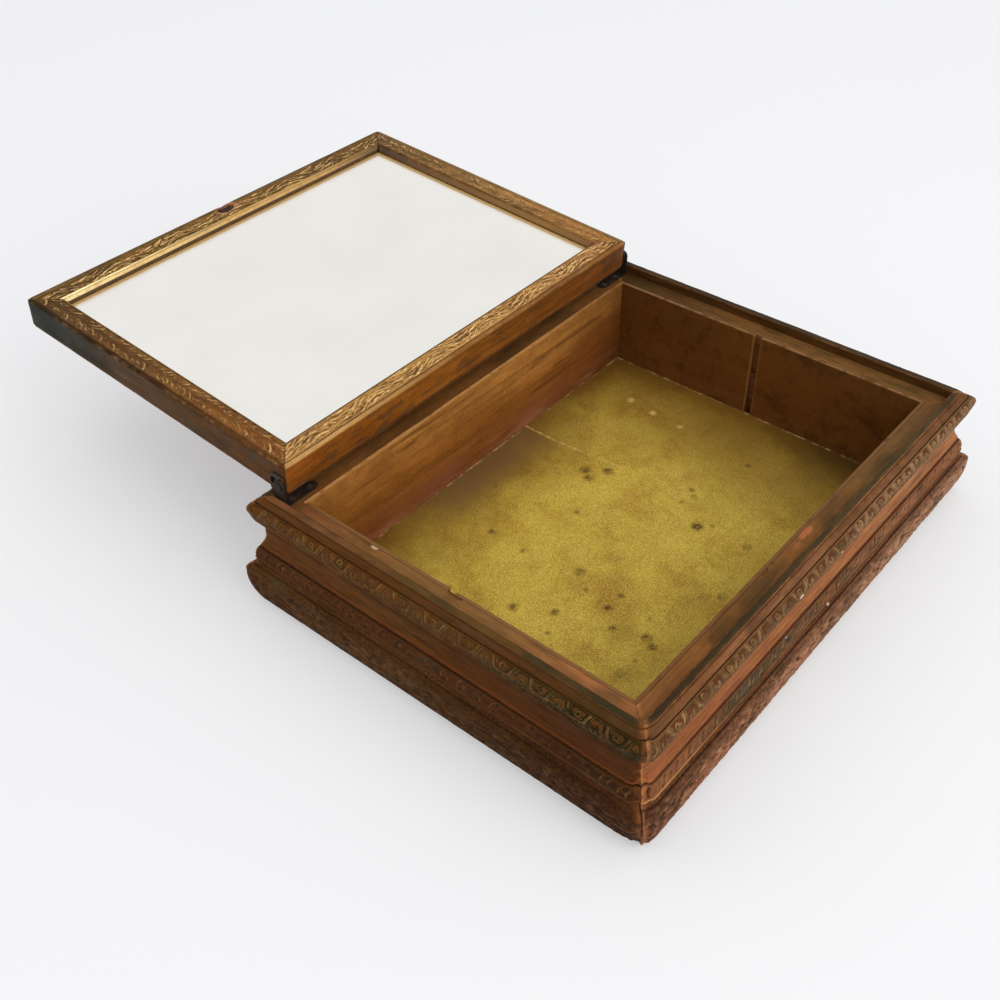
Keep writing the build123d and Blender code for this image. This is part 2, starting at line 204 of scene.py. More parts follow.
def layBack(points):
    # the shut lid turned about its pivots to where the photograph shows it
    angle = math.radians(lid["angle"])
    c, s = math.cos(angle), math.sin(angle)
    y, z = points[:, 1] - lid["pivotY"], points[:, 2] - lid["pivotZ"]
    return np.stack([points[:, 0], lid["pivotY"] + y * c - z * s, lid["pivotZ"] + y * s + z * c], 1)


def stainAlong(palette, names, index, along):
    # each member's own tone, or its tones at their distances from the middle of the length
    colours = np.empty((len(index), 3))
    for name in sorted(set(names)):
        mask = (np.array(names) == name)[index]
        tone = palette[name]
        if isinstance(tone, tuple):
            colours[mask] = linear(*tone)
        else:
            shades = np.array([linear(*stop) for stop in tone.values()])
            for channel in range(3):
                colours[mask, channel] = np.interp(along[mask], list(tone), shades[:, channel])
    return colours


def toward(colours, tone, amount):
    # the colours moved toward one tone, by an amount that varies from point to point
    return colours * (1 - amount[:, None]) + np.array(linear(*tone)) * amount[:, None]


def seated(piece, node, body):
    # put in the scene in the place of its solid, to move with its body
    bpy.context.scene.collection.objects.link(piece)
    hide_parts(node)
    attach(piece, body)


def laidBack(name, shape, node):
    # a piece of the lid, drawn shut and in millimetres
    mesh = finishedMesh(name, shape)
    mesh.vertices.foreach_set("co", (layBack(readPoints(mesh)) * mm).ravel())
    mesh.update()
    piece = bpy.data.objects.new(name, mesh)
    seated(piece, node, "lid")
    return piece


sideSeeds = {"front": 0, "right": 11, "back": 23, "left": 37}
longSides = ("front", "back")
grainOf = {"front": "x", "back": "x", "left": "y", "right": "y"}
# what a length of moulding has when its own settings say nothing; pairs are for its two ends
plainWork = {
    "carved": {}, "plainEnd": 0, "rubbed": {}, "corner": {}, "square": (0.6, 0.6), "endWear": 1.0, "seam": 0.4,
    "cloud": 0.14, "speckle": 0.12, "patina": {}, "shade": {}, "marks": {}, "figure": {}, "spring": {}, "gap": {},
    "contrast": 1.5, "overhang": 40, "fadeIn": 0.8, "springHeight": 26,
}


def mouldedLength(name, side, node, plan, profile, given):
    # one mitred length of moulding: pulled, carved, worn, stained and put in its place
    work = {**plainWork, **given}
    places, names = profile
    members = np.array(names)
    normals, distance, sharp = profileFacts(places)
    mesh = pulledLength(name, places, work["steps"])
    points = readPoints(mesh)
    index = np.empty(len(mesh.vertices), dtype=np.float32)
    mesh.attributes["place"].data.foreach_get("value", index)
    index = np.rint(index).astype(int)
    mesh.attributes.remove(mesh.attributes["place"])
    across, half = (plan["halfY"], plan["halfX"]) if side in longSides else (plan["halfX"], plan["halfY"])
    share, out, height = points[:, 0], places[index, 0], places[index, 1]
    girth = distance[index]
    along = share * (half + out)
    fromEnd = (1 - np.abs(share)) * (half + out)
    seed = work["seed"] + sideSeeds[side]
    outer = np.isin(members, work["faces"])[index]

    def rough(size, shift, wide=None):
        return roughNoise(along, girth, size, seed + shift, wide)

    # carving, as how far it is sunk and how light or dark its relief reads; the material paints shade into low
    # relief and a highlight onto high relief
    relief = np.full(len(index), 0.5)
    sink = np.zeros(len(index))
    for member, carve in work["carved"].items():
        chosen = members == member
        begin, finish = distance[chosen][0], distance[chosen][-1]
        mask = chosen[index]
        level, edges = carve["pattern"](along[mask], girth[mask] - begin, half + work["overhang"], seed)
        fade = held(np.minimum(girth[mask] - begin, finish - girth[mask]) / work["fadeIn"])
        if work["plainEnd"]:
            fade *= held((fromEnd[mask] - 2) / work["plainEnd"])
        contrast = carve.get("contrast", work["contrast"])
        relief[mask] = 0.5 + (held(0.5 + contrast * edges) - 0.5) * fade
        sink[mask] = (1 - level) * carve["depth"] * fade

    # wear on the arrises and at the mitres
    patchy = 0.5 + 0.5 * rough(14, 5)
    fine = 0.5 + 0.5 * rough(3.5, 6)
    arris = sharp[index] * outer
    wear = arris * held(patchy * 1.9 - 0.35) * work["rubbed"].get(side, 1.0)
    worn = arris * (work["arris"] * (0.3 + patchy * fine * 1.6))
    sink += worn + outer * work["waver"] * (0.5 + 0.5 * rough(60, 9, 20))
    ragged = roughNoise(along, height, 4, 900 + sideSeeds[side], 6)
    cut = np.where(share < 0, *work["corner"].get(side, work["square"])) * (1 + 0.3 * ragged)
    rounded = np.exp(-(fromEnd / (1.2 + 1.3 * cut)) ** 2) * cut * held((out - work["cornerFrom"]) / 6)
    endWear = np.exp(-(fromEnd / (0.9 + 0.7 * cut)) ** 2) * outer * (0.35 + fine) * work["endWear"]
    wear = held(wear + endWear)

    # stain, dirt, knocks and painted shade
    colours = stainAlong(work["palette"][side], names, index, along)
    colours *= (1 - work["seam"] * np.exp(-(fromEnd / 0.55) ** 2))[:, None]
    cloudy = rough(22, 15, 9)
    speckled = rough(5, 17, 2.5)
    colours *= (1 + work["cloud"] * cloudy + work["speckle"] * speckled)[:, None]
    for member, (tone, amount, size, threshold) in work["patina"].items():
        bloom = held((rough(size, 61, size * 0.4) - threshold) * 3)
        colours = toward(colours, tone, bloom * amount * (members == member)[index])
    # painted shade: each member named under shade moves toward its tone, starting a set distance along its outline
    for member, (begin, finish, tone, amount) in work["shade"].get(side, {}).items():
        chosen = members == member
        gone = girth - distance[chosen][0] + 0.9 * speckled + 0.7 * cloudy
        colours = toward(colours, tone, held((gone - begin) / (finish - begin)) * amount * chosen[index])
    for u, o, h, reachU, reachO, reachH, depth, tone in work["marks"].get(side, []):
        gone = ((along - u) / reachU) ** 2 + ((out - o) / reachO) ** 2 + ((height - h) / reachH) ** 2
        mark = held((1.15 - gone + 0.35 * speckled) * 2.2) * outer
        sink += mark * depth
        if tone:
            colours = toward(colours, tone, mark)
            wear = wear * (1 - mark)

    # the points put in their places, with an opened mitre or a sprung foot where there is one
    sink = np.where(outer, sink, 0)
    lean = np.interp(share, (-1, 1), work["spring"].get(side, (0, 0)))
    lean = np.where(outer, lean * held(1 - height / work["springHeight"]), 0)
    outward = out - normals[index, 0] * sink - rounded
    crack = np.where(share < 0, *work["gap"].get(side, (0, 0)))
    x = share * (half + outward) - np.sign(share) * crack
    placed = np.stack([x, -(across + outward + lean), height - normals[index, 1] * sink], 1)
    placed = turnToSide(placed, side)
    if plan is lid:
        placed[:, 1] += lid["middle"]
        placed = layBack(placed)
    mesh.vertices.foreach_set("co", (placed * mm).ravel())
    writeLayer(mesh, "relief", relief)
    writeLayer(mesh, "wear", wear)
    writeLayer(mesh, "figure", np.array([work["figure"].get(member, 1.0) for member in names])[index])
    writeStain(mesh, colours)
    mesh.polygons.foreach_set("use_smooth", [True] * len(mesh.polygons))
    mesh.update()
    piece = bpy.data.objects.new(name, mesh)
    seated(piece, node, plan["body"])
    return piece


# Carved patterns, each a height from 0 to 1 over the length and across the member.
# A stroke is a run of domes: along, across, radius and height; cell is the width of a sheet's squares.

cell = 0.25


def stampedSheet(half, width, ground, strokes):
    # small domes stamped along tapering strokes on a level ground; those below nought are sunk
    raised = np.zeros((int(2 * half / cell) + 2, int(width / cell) + 2))
    sunk = np.zeros(raised.shape)
    for stroke in strokes:
        for x, y, radius, high in stroke:
            a, b = (x + half) / cell, y / cell
            reach = radius / cell
            a0, a1 = max(0, int(a - reach)), min(raised.shape[0], int(a + reach) + 2)
            b0, b1 = max(0, int(b - reach)), min(raised.shape[1], int(b + reach) + 2)
            if a0 >= a1 or b0 >= b1:
                continue
            fromA, fromB = np.arange(a0, a1)[:, None] - a, np.arange(b0, b1)[None, :] - b
            gone = (fromA ** 2 + fromB ** 2) / reach ** 2
            sheet = raised if high > 0 else sunk
            dome = abs(high) * np.sqrt(held(1 - gone))
            sheet[a0:a1, b0:b1] = np.maximum(sheet[a0:a1, b0:b1], dome)
    low = ground * (1 - sunk)
    return low + raised * (1 - low)


def readSheet(sheet, half, u, v):
    # the sheet's height between its four nearest squares
    a = np.clip((u + half) / cell, 0, sheet.shape[0] - 1.001)
    b = np.clip(v / cell, 0, sheet.shape[1] - 1.001)
    ia, ib = np.floor(a).astype(int), np.floor(b).astype(int)
    fa, fb = a - ia, b - ib
    low = sheet[ia, ib] * (1 - fa) + sheet[ia + 1, ib] * fa
    high = sheet[ia, ib + 1] * (1 - fa) + sheet[ia + 1, ib + 1] * fa
    return low * (1 - fb) + high * fb


def curlStroke(centre, start, turns, fromRadius, toRadius, thick, high, count=40):
    stroke = []
    for step in range(count):
        t = step / (count - 1)
        angle = start + turns * 2 * math.pi * t
        reach = fromRadius + (toRadius - fromRadius) * t ** 0.8
        stroke.append((centre[0] + reach * math.cos(angle), centre[1] + reach * math.sin(angle),
                       thick[0] + (thick[1] - thick[0]) * t, high))
    return stroke


def leafStroke(start, end, bend, thick, high, count=14):
    stroke = []
    for step in range(count):
        t = step / (count - 1)
        radius = thick[0] + (thick[1] - thick[0]) * t
        stroke.append((*bowedPoint(start, end, bend, t), radius, high * (0.7 + 0.3 * math.sin(math.pi * t))))
    return stroke


scroll = {"bay": 11.6, "width": 14.6, "top": -1.6, "foot": 7.4, "ground": 0.35}


def scrollStrokes(half, seed):
    # a snaking stem makes a row of cups; a ringed eye sits in each cup and a curl under each bridge
    bay, top, foot = scroll["bay"], scroll["top"], scroll["foot"]
    draw = np.random.default_rng(seed)
    strokes = []
    for shift, thick, high in ((0.0, 1.0, 1.0), (1.9, 0.6, 0.75), (-1.6, 0.4, 0.4)):
        stem = []
        for u in np.arange(-half, half, 0.2):
            turn = math.sin(math.pi * (u - shift) / bay)
            snake = math.tanh(2.2 * turn) / math.tanh(2.2)
            across = math.sqrt(max(0, 1 - turn * turn))
            v = (top + foot) / 2 + snake * (foot - top) / 2
            stem.append((u, v, thick * (0.7 + 0.45 * across), high * (0.72 + 0.28 * across)))
        strokes.append(stem)
    for number in range(-int(half / bay) - 1, int(half / bay) + 1):
        x = bay * (number + 0.5) + draw.uniform(-0.7, 0.7)
        if number % 2 == 0:
            y = top + 4.6 + draw.uniform(-0.3, 0.5)
            strokes.append([(x, y, 3.8, -draw.uniform(0.7, 1.0))])
            strokes.append(curlStroke(
                (x, y), draw.uniform(0, 1), 1.3, 2.5, 0.8, (0.85, 0.55), draw.uniform(0.7, 1.0)))
            strokes.append([(x + draw.uniform(-0.6, 0.6), y, 0.9, draw.uniform(0.5, 0.9))])
        else:
            y = foot - 2.9 + draw.uniform(-0.3, 0.3)
            strokes.append([(x + 0.4, y, 3.4, -draw.uniform(0.8, 1.0))])
            strokes.append(curlStroke(
                (x, y + 0.6), draw.uniform(2.6, 3.6), -0.8, 2.4, 1.0, (0.9, 0.5), draw.uniform(0.6, 0.95)))
            strokes.append(leafStroke(
                (x - 0.6, y + 2.6), (x + 1.2, y - 1.6), 0.6, (0.8, 0.4), draw.uniform(0.4, 0.8)))
        for lean in (-3.0, 0.0, 3.0):
            strokes.append(leafStroke(
                (x + lean, foot + 1.6), (x + lean + 2.2, foot + 5.4), 0.7, (0.9, 0.5), draw.uniform(0.5, 0.9)))
    return strokes


leafRun = {"bay": 11.7, "width": 9.2, "ground": 0.7}


def leafRunStrokes(half, seed):
    # broad worn leaves, each ending in one hooked cut
    bay, wide = leafRun["bay"], leafRun["width"]
    draw = np.random.default_rng(seed)
    strokes = []
    for number in range(-int(half / bay) - 1, int(half / bay) + 1):
        x0 = bay * number + draw.uniform(-0.5, 0.5)
        cut = draw.uniform(0.7, 1.0)
        strokes.append(leafStroke((x0 + 1.7, 1.0), (x0 - 0.6, wide - 2.6), 1.3, (0.8, 1.9), -cut))
        ridge = draw.uniform(0.3, 0.7)
        strokes.append(leafStroke((x0 - 0.4, 1.2), (x0 - 3.0, wide - 2.6), 0.9, (0.7, 0.5), ridge))
        ridge = draw.uniform(0.3, 0.7)
        strokes.append(leafStroke((x0 + 3.4, 1.6), (x0 + 1.4, wide - 2.4), 0.5, (0.5, 0.4), ridge))
        cut = draw.uniform(0.2, 0.6)
        strokes.append(leafStroke((x0 + 6.6, 2.4), (x0 + 5.2, wide - 3.6), 0.4, (0.4, 0.6), -cut))
    return strokes


laurel = {"width": 12.4, "blade": 14.0, "fan": 12.5}


def laurelStrokes(half, seed):
    # long fine blades lying nearly along the rail
    wide = laurel["width"]
    draw = np.random.default_rng(seed)
    strokes = []
    x = -half
    while x < half:
        x += draw.uniform(0.8, 1.7)
        y = draw.uniform(1.2, wide - 1.2)
        long = laurel["blade"] * draw.uniform(0.35, 0.9)
        slope = math.radians(22 * math.sin(2 * math.pi * x / 52) + draw.uniform(-6, 6))
        end = (x + long * math.cos(slope), y + long * math.sin(slope))
        strokes.append(leafStroke((x, y), end, draw.uniform(-0.8, 0.8), (0.55, 0.25), draw.uniform(0.6, 1.0), 22))
    return strokes


def featherStrokes(half, seed):
    # pairs of short blades spreading from the middle of the rail, all pointing the same way
    middle = laurel["width"] / 2
    draw = np.random.default_rng(seed)
    strokes = []
    for number in range(-int(half / laurel["fan"]) - 1, int(half / laurel["fan"]) + 1):
        for flip in (-1, 1):
            for blade in range(3):
                x = laurel["fan"] * (number + (0.25 if flip > 0 else 0))
                x = x + blade * 3.2 + draw.uniform(-1.2, 1.2)
                foot = (x, middle + flip * draw.uniform(0.3, 3.0))
                end = (x - draw.uniform(3.5, 8), middle + flip * draw.uniform(4.0, 6.0))
                bold = draw.uniform(0.1, 1.0) ** 2.5
                strokes.append(leafStroke(
                    foot, end, flip * draw.uniform(0.2, 1.0), (0.3, 0.6 + 0.4 * bold), 0.2 + 0.75 * bold))
        x = laurel["fan"] * (number + draw.uniform(0, 1))
        strokes.append(leafStroke((x, middle), (x - 9, middle + draw.uniform(-1, 1)), 0.8, (1.6, 2.6), -0.7))
    return strokes


def softened(sheet, reach):
    # the sheet averaged over a square, so that hollows beside strokes can be told from level ground
    for axis in (0, 1):
        turned = np.moveaxis(sheet, axis, 0)
        padded = np.concatenate([turned[:1].repeat(reach + 1, 0), turned, turned[-1:].repeat(reach, 0)])
        total = np.cumsum(padded, 0)
        sheet = np.moveaxis((total[2 * reach + 1:] - total[:-2 * reach - 1]) / (2 * reach + 1), 0, axis)
    return sheet


def stampedPattern(width, makeStrokes, sway, worn, ground):
    # gives the height of the carving, and how far it stands above or below what is round it
    def level(u, v, half, seed):
        sheet = stampedSheet(half, width, ground, makeStrokes(half, seed))
        bentU = u + sway * roughNoise(u, v, 17, seed + 41)
        bentV = v + sway * 0.4 * roughNoise(u, v, 17, seed + 43)
        high = readSheet(sheet, half, bentU, bentV)
        rubbed = held(0.5 + 0.8 * roughNoise(u, v, 26, seed + 47)) * worn
        rough = 0.14 * roughNoise(u, v, 2.4, seed + 51)
        edges = (high - readSheet(softened(sheet, 9), half, bentU, bentV)) * (1 - rubbed) + rough
        return held(high * (1 - rubbed) + ground * rubbed + rough), edges
    return level


bark = {"lobe": 9.4, "roll": 2.6, "mean": 0.65}


def barkPattern(u, v, half, seed):
    # a smooth roll at the top, then worn overlapping leaf tips with nicks between them
    drift = u + 0.3 * v + 3.0 * roughNoise(u, v, 15, seed + 71, 30)
    tip = np.abs(np.sin(math.pi * drift / bark["lobe"])) ** 0.45 - 0.72
    knobs = roughNoise(u - 0.8 * v, v, 3.4, seed + 77, 1.3)
    coarse = roughNoise(u, v, 7, seed + 75, 3.5)
    depth = np.clip((v - bark["roll"]) / 4, 0.12, 1)
    height = depth * (0.4 * tip + 0.6 * knobs + 0.35 * coarse)
    edges = np.clip(depth, 0.35, 1) * (0.3 * tip + 0.9 * knobs + 0.3 * coarse)
    return held(bark["mean"] + height), edges


# Materials: each helper adds nodes to the one in hand and gives back the socket with the result

paint = {}


def feed(socket, value):
    # linked when the value is another socket, and set when it is plain
    if hasattr(value, "node"):
        paint["tree"].links.new(value, socket)
    else:
        socket.default_value = (*value, 1) if socket.type == "RGBA" else value


def made(kind, values, **traits):
    # a new node with its traits and the sockets named in values
    fresh = paint["tree"].nodes.new("ShaderNode" + kind)
    for trait, value in traits.items():
        setattr(fresh, trait, value)
    for name, value in values.items():
        feed(fresh.inputs[name], value)
    return fresh


def freshMaterial(name):
    material = bpy.data.materials.new(name)
    material.use_nodes = True
    material.node_tree.nodes.clear()
    paint.update(material=material, tree=material.node_tree)
    paint["shader"] = made("BsdfPrincipled", {})
    paint["ending"] = made("OutputMaterial", {"Surface": paint["shader"].outputs["BSDF"]})


def coated(values):
    # the material in hand, with these values on its shader
    for name, value in values.items():
        feed(paint["shader"].inputs[name], value)
    return paint["material"]


def objectPlace(scale=(1, 1, 1)):
    place = made("TexCoord", {}).outputs["Object"]
    return made("Mapping", {"Scale": scale, "Vector": place}).outputs["Vector"]


def noise(place, scale, detail=4, rough=0.55, warp=0.0):
    return made("TexNoise", {
        "Vector": place, "Scale": scale, "Detail": detail, "Roughness": rough, "Distortion": warp}).outputs["Fac"]


def remap(value, low, high, toLow=0.0, toHigh=1.0):
    return made("MapRange", {
        "Value": value, "From Min": low, "From Max": high, "To Min": toLow, "To Max": toHigh}).outputs["Result"]


def calc(kind, first, second=0.0):
    return made("Math", {0: first, 1: second}, operation=kind).outputs[0]


plus, minus, times = partial(calc, "ADD"), partial(calc, "SUBTRACT"), partial(calc, "MULTIPLY")
larger, smaller, absolute = partial(calc, "MAXIMUM"), partial(calc, "MINIMUM"), partial(calc, "ABSOLUTE")


def blend(factor, first, second):
    # the Mix node keeps its colours in sockets 6 and 7, and their blend in output 2
    return made("Mix", {0: factor, 6: first, 7: second}, data_type="RGBA").outputs[2]


def laid(colour, tone, amount):
    # the colour with a tone laid over it by an amount that varies over the surface
    return blend(amount, colour, linear(*tone))


def shaded(colour, amount):
    # the colour made lighter or darker by an amount that varies over the surface
    return made("VectorMath", {0: colour, "Scale": amount}, operation="SCALE").outputs[0]


def tinted(colour, gain):
    # the colour with each of its parts lowered by a fixed share
    return made("VectorMath", {0: colour, 1: gain}, operation="MULTIPLY").outputs[0]


def readLayer(name, output="Fac"):
    return made("Attribute", {}, attribute_name=name).outputs[output]


def ramp(value, stops):
    fresh = made("ValToRGB", {"Fac": value})
    bar = fresh.color_ramp
    while len(bar.elements) < len(stops):
        bar.elements.new(0.5)
    for element, (spot, tone) in zip(bar.elements, stops):
        element.position = spot
        element.color = (*linear(*tone), 1)
    return fresh.outputs["Color"]


def bumpOf(height, strength, distance):
    return made("Bump", {"Height": height, "Strength": strength, "Distance": distance}).outputs["Normal"]


def axes(place):
    return made("SeparateXYZ", {"Vector": place}).outputs


def around(value, low, reach):
    # a noise brought to a range that reaches as far below nought as above it
    return remap(value, low, 1 - low, -reach, reach)


def spotMask(place, spots, z, swell):
    # soft round marks: x and y in metres, radius in millimetres, strength
    total = None
    for x, y, radius, strength in spots:
        reach = radius * swell * mm
        gap = made("VectorMath", {0: place, 1: (x, y, z)}, operation="DISTANCE").outputs["Value"]
        mark = remap(gap, reach, reach * 0.35, 0, strength)
        total = mark if total is None else larger(total, mark)
    return total


plainWood = {
    "grainDepth": 0.3, "bandDepth": 0.22, "speck": 0.1, "speckScale": 900, "lines": 0.0, "mottle": 0.3,
    "rough": 0.48, "hollow": 0.6, "hollowFrom": 0.5, "crest": 0.0, "crestFrom": 0.72, "worn": 0.75, "fleck": 0,
    "layered": False,
}


def agedWood(name, given):
    # stained wood: the piece's own stain, fine grain, dirt and painted shade in the hollows, pale crests that are
    # partly rubbed wear and partly painted highlight, and rubbed edges
    look = {**plainWood, **given}
    freshMaterial(name)
    plain = objectPlace()
    alongX = look["grain"] == "x"
    lengthwise = objectPlace((0.05, 1, 1) if alongX else (1, 0.05, 1))
    grain = noise(lengthwise, 950, 5, 0.65, 0.2)
    bands = noise(lengthwise, 170, 4, 0.6, 0.6)
    patches = noise(plain, 34, 5, 0.6, 0.4)
    streak = plus(around(grain, 0.3, look["grainDepth"]), around(bands, 0.35, look["bandDepth"]))
    lines = remap(bands, 0.52, 0.64, 0, look["lines"])
    stain = readLayer("stain", "Color") if look["layered"] else linear(*look["stain"])
    if look["layered"]:
        streak = times(streak, readLayer("figure"))
        lines = times(lines, readLayer("figure"))
    streak = plus(streak, around(noise(plain, look["speckScale"], 3, 0.7), 0.3, look["speck"]))
    colour = shaded(stain, plus(streak, 1.0))
    colour = blend(lines, colour, tinted(colour, look["second"]))
    colour = blend(remap(patches, 0.42, 0.68, 0, look["mottle"]), colour, tinted(colour, look["second"]))
    if look["layered"]:
        relief = readLayer("relief")
        # painted shade and dirt where the relief is low
        hollow = remap(relief, look["hollowFrom"], 0.15, 0, look["hollow"])
        colour = laid(colour, look["hollowShadeAndDirtColour"], hollow)
        # pale crests where the relief is high, partly rubbed wear and partly painted highlight
        crestWearAndSheen = remap(noise(plain, 120, 4), 0.38, 0.62, 0, look["crest"])
        colour = laid(colour, look["crestHighlightAndWearColour"], times(remap(relief, look["crestFrom"], 0.85), crestWearAndSheen))
        if look["fleck"]:
            long = objectPlace((0.16, 1, 1) if alongX else (1, 0.16, 1))
            fleck = remap(noise(long, 850, 2, 0.5, 1.2), 0.57, 0.66, 0, look["fleck"])
            colour = laid(colour, look["fleckColour"], times(fleck, remap(relief, 0.5, 0.62)))
        bare = remap(noise(plain, 210, 3), 0.34, 0.6, 0, look["worn"])
        colour = laid(colour, look["wornColour"], times(readLayer("wear"), bare))
    return coated({
        "Base Color": colour, "Roughness": remap(patches, 0.3, 0.7, look["rough"] - 0.08, look["rough"] + 0.16),
        "Specular IOR Level": 0.05, "Normal": bumpOf(plus(grain, bands), 0.3, 0.0004)})


def dress(piece, material):
    piece.data.materials.clear()
    piece.data.materials.append(material)


# Outlines of the mouldings, out from the edge of the opening and up from the table

def upperProfile():
    ledge = box["ledge"]
    top = ledge + box["lipHeight"]
    return tracedProfile((2.0, 42.0), [
        (2.0, ledge, 0, "hidden", 6.0),
        (13.5, ledge, 0, "ledge", 0.9),
        (13.5, top, 0, "lipInside", 0.8),
        (18.2, top, 0, "lip", 0.7),
        (18.2, top - 1.1, 0, "lip", 0.5),
        (17.7, top - 1.4, 0, "quirk", 0.4),
        (18.1, top - 1.7, 0, "quirk", 0.4),
        (18.8, top - 1.6, 0, "fillet", 0.5),
        (21.6, top - 3.9, 0.4, "fillet", 0.5),
        (21.5, 75.3, 0, "quirk", 0.4),
        (21.5, 74.86, 0, "quirk", 0.5),
        (21.99, 74.86, 0, "quirk", 0.6),
        (24.96, 69.71, 1.3, "quirk", 1.2),
        (23.28, 63.43, 0, "quirk", 1.5),
        (22.88, 63.03, 0, "brow", 0.4),
        (19.8, 52.5, -1.2, "fascia", 0.7),
        (22.25, 43.6, -0.85, "fascia", 0.7),
        (22.6, 42.0, -0.1, "foot", 0.5),
        (2.0, 42.0, 0, "hidden", 9.0),
    ])


def baseProfile():
    return tracedProfile((8.0, 0.0), [
        (8.0, 8.0, 0, "hidden", 8.0),
        (2.0, 8.0, 0, "hidden", 6.0),
        (2.0, 42.0, 0, "hidden", 12.0),
        (22.2, 42.0, 0, "groove", 5.0),
        (22.2, 41.2, 0, "groove", 0.4),
        (22.6, 41.2, 0, "groove", 0.4),
        (24.8, 33.2, 0.8, "bead", 1.2),
        (24.9, 32.3, 0, "cove", 0.4),
        (26.1, 28.6, -0.5, "cove", 0.5),
        (26.9, 28.4, 0, "hollow", 0.4),
        (30.5, 23.0, 1.5, "torus", 0.6),
        (25.8, 0.0, 1.4, "torus", 0.7),
        (8.0, 0.0, 0, "hidden", 6.0),
    ])


def scrollProfile():
    return tracedProfile((21.99, 74.857), [
        (22.246, 75.823, 0, "edge", 0.5),
        (25.923, 69.454, 1.52, "scroll", 0.45),
        (24.241, 63.176, 0, "scroll", 0.45),
        (23.275, 63.434, 0, "edge", 0.5),
        (24.957, 69.713, 0, "hidden", 2.2),
        (21.99, 74.857, -1.23, "hidden", 1.6),
    ])


def leafProfile():
    return tracedProfile((22.6, 41.2), [
        (23.5, 41.2, 0, "edge", 0.45),
        (25.4, 33.8, 0.7, "leaf", 0.45),
        (25.9, 33.3, 0, "foot", 0.35),
        (25.8, 32.5, 0.1, "foot", 0.35),
        (24.85, 32.6, 0, "foot", 0.45),
        (22.6, 41.2, -0.8, "hidden", 2.0),
    ])


print("profiles drawn")

# Stains are named by the side of the box. The left and right sets are darker than the front and back, partly as
# darker stain and partly as painted shade, and the lip's inner wall is dark as painted shade. A tone alone holds
# for the whole length, and a dictionary gives tones at distances from its middle.

dull = {"hidden": (92, 58, 34)}
upperFront = dict(
    dull, lipInside=(58, 36, 18), quirk=(92, 54, 30), brow=(124, 84, 54), foot=(128, 78, 46),
    ledge={-150: (130, 85, 44), -95: (136, 88, 42), -50: (122, 80, 38), 0: (124, 80, 38), 80: (110, 80, 42),
           150: (108, 75, 41)},
    lip={-150: (60, 46, 27), 0: (70, 54, 29), 150: (70, 56, 33)},
    fillet={-170: (98, 67, 39), -110: (130, 85, 53), -40: (126, 86, 59), 20: (100, 66, 37), 80: (110, 74, 46),
            140: (102, 68, 42)},
    fascia={-150: (142, 86, 50), -60: (146, 90, 52), 20: (154, 98, 58), 140: (158, 106, 68)})
upperLeft = dict(
    dull, lipInside=(56, 32, 12), quirk=(90, 56, 24), brow=(82, 51, 21), foot=(104, 54, 25),
    ledge={-105: (126, 79, 44), -30: (122, 88, 46), 40: (134, 93, 52), 100: (160, 102, 58)},
    lip={-105: (124, 80, 47), -60: (105, 69, 37), -20: (89, 66, 31), 40: (90, 64, 29), 100: (64, 49, 25)},
    fillet={-105: (90, 54, 21), 40: (80, 51, 20), 112: (70, 47, 20)},
    fascia={-105: (92, 55, 20), -30: (90, 55, 19), 40: (83, 48, 15), 100: (78, 43, 16)})
upperRight = dict(
    upperLeft, hidden=(98, 62, 32), lipInside=(78, 50, 22), lip=(66, 51, 34),
    ledge={-100: (112, 78, 41), 0: (122, 82, 43), 50: (108, 74, 38), 100: (73, 51, 25)})
upperBack = dict(upperFront, ledge=(109, 70, 34))
baseFront = dict(
    dull, groove=(96, 56, 34), bead=(110, 72, 46), cove=(98, 60, 34), hollow=(58, 34, 20),
    torus={-176: (98, 60, 40), -135: (126, 80, 53), 0: (142, 98, 70), 140: (155, 110, 83)})
baseLeft = dict(
    dull, groove=(80, 48, 22), bead=(76, 46, 20), hollow=(62, 38, 16),
    cove={20: (80, 49, 21), 110: (70, 38, 17)}, torus={-20: (76, 46, 17), 60: (68, 40, 15), 120: (62, 33, 14)})
scrollFront = {
    "edge": (116, 80, 50), "hidden": (70, 44, 26),
    "scroll": {-150: (102, 72, 42), 0: (106, 76, 45), 30: (124, 92, 63), 140: (110, 84, 57)}}
scrollLeft = {
    "edge": (70, 46, 20), "hidden": (48, 28, 13),
    "scroll": {-105: (86, 51, 15), -60: (90, 54, 16), 10: (84, 52, 16), 60: (58, 37, 9), 100: (44, 32, 7)}}
leafFront = {
    "edge": (112, 72, 45), "hidden": (64, 38, 24),
    "foot": {-178: (172, 122, 76), -118: (156, 108, 66), -98: (84, 66, 38), -80: (66, 58, 34), -40: (96, 68, 38),
             0: (104, 72, 42), 140: (112, 80, 50)},
    "leaf": {-150: (122, 74, 42), -125: (108, 70, 42), -85: (70, 60, 38), -60: (84, 64, 38), 20: (118, 74, 44),
             140: (126, 80, 50)}}
leafLeft = {
    "edge": (66, 40, 17), "hidden": (42, 24, 11), "foot": (82, 50, 22),
    "leaf": {0: (76, 42, 13), 110: (66, 35, 12)}}


def bySide(front, left, right=None, back=None):
    return {"front": front, "left": left, "right": right or left, "back": back or front}


def chip(along, out, up, long, high):
    # a mark is its place along, out and up, how far it reaches each way, its depth and its tone
    return along, out, up, long, 3.0, high, 0.3, (214, 198, 176)


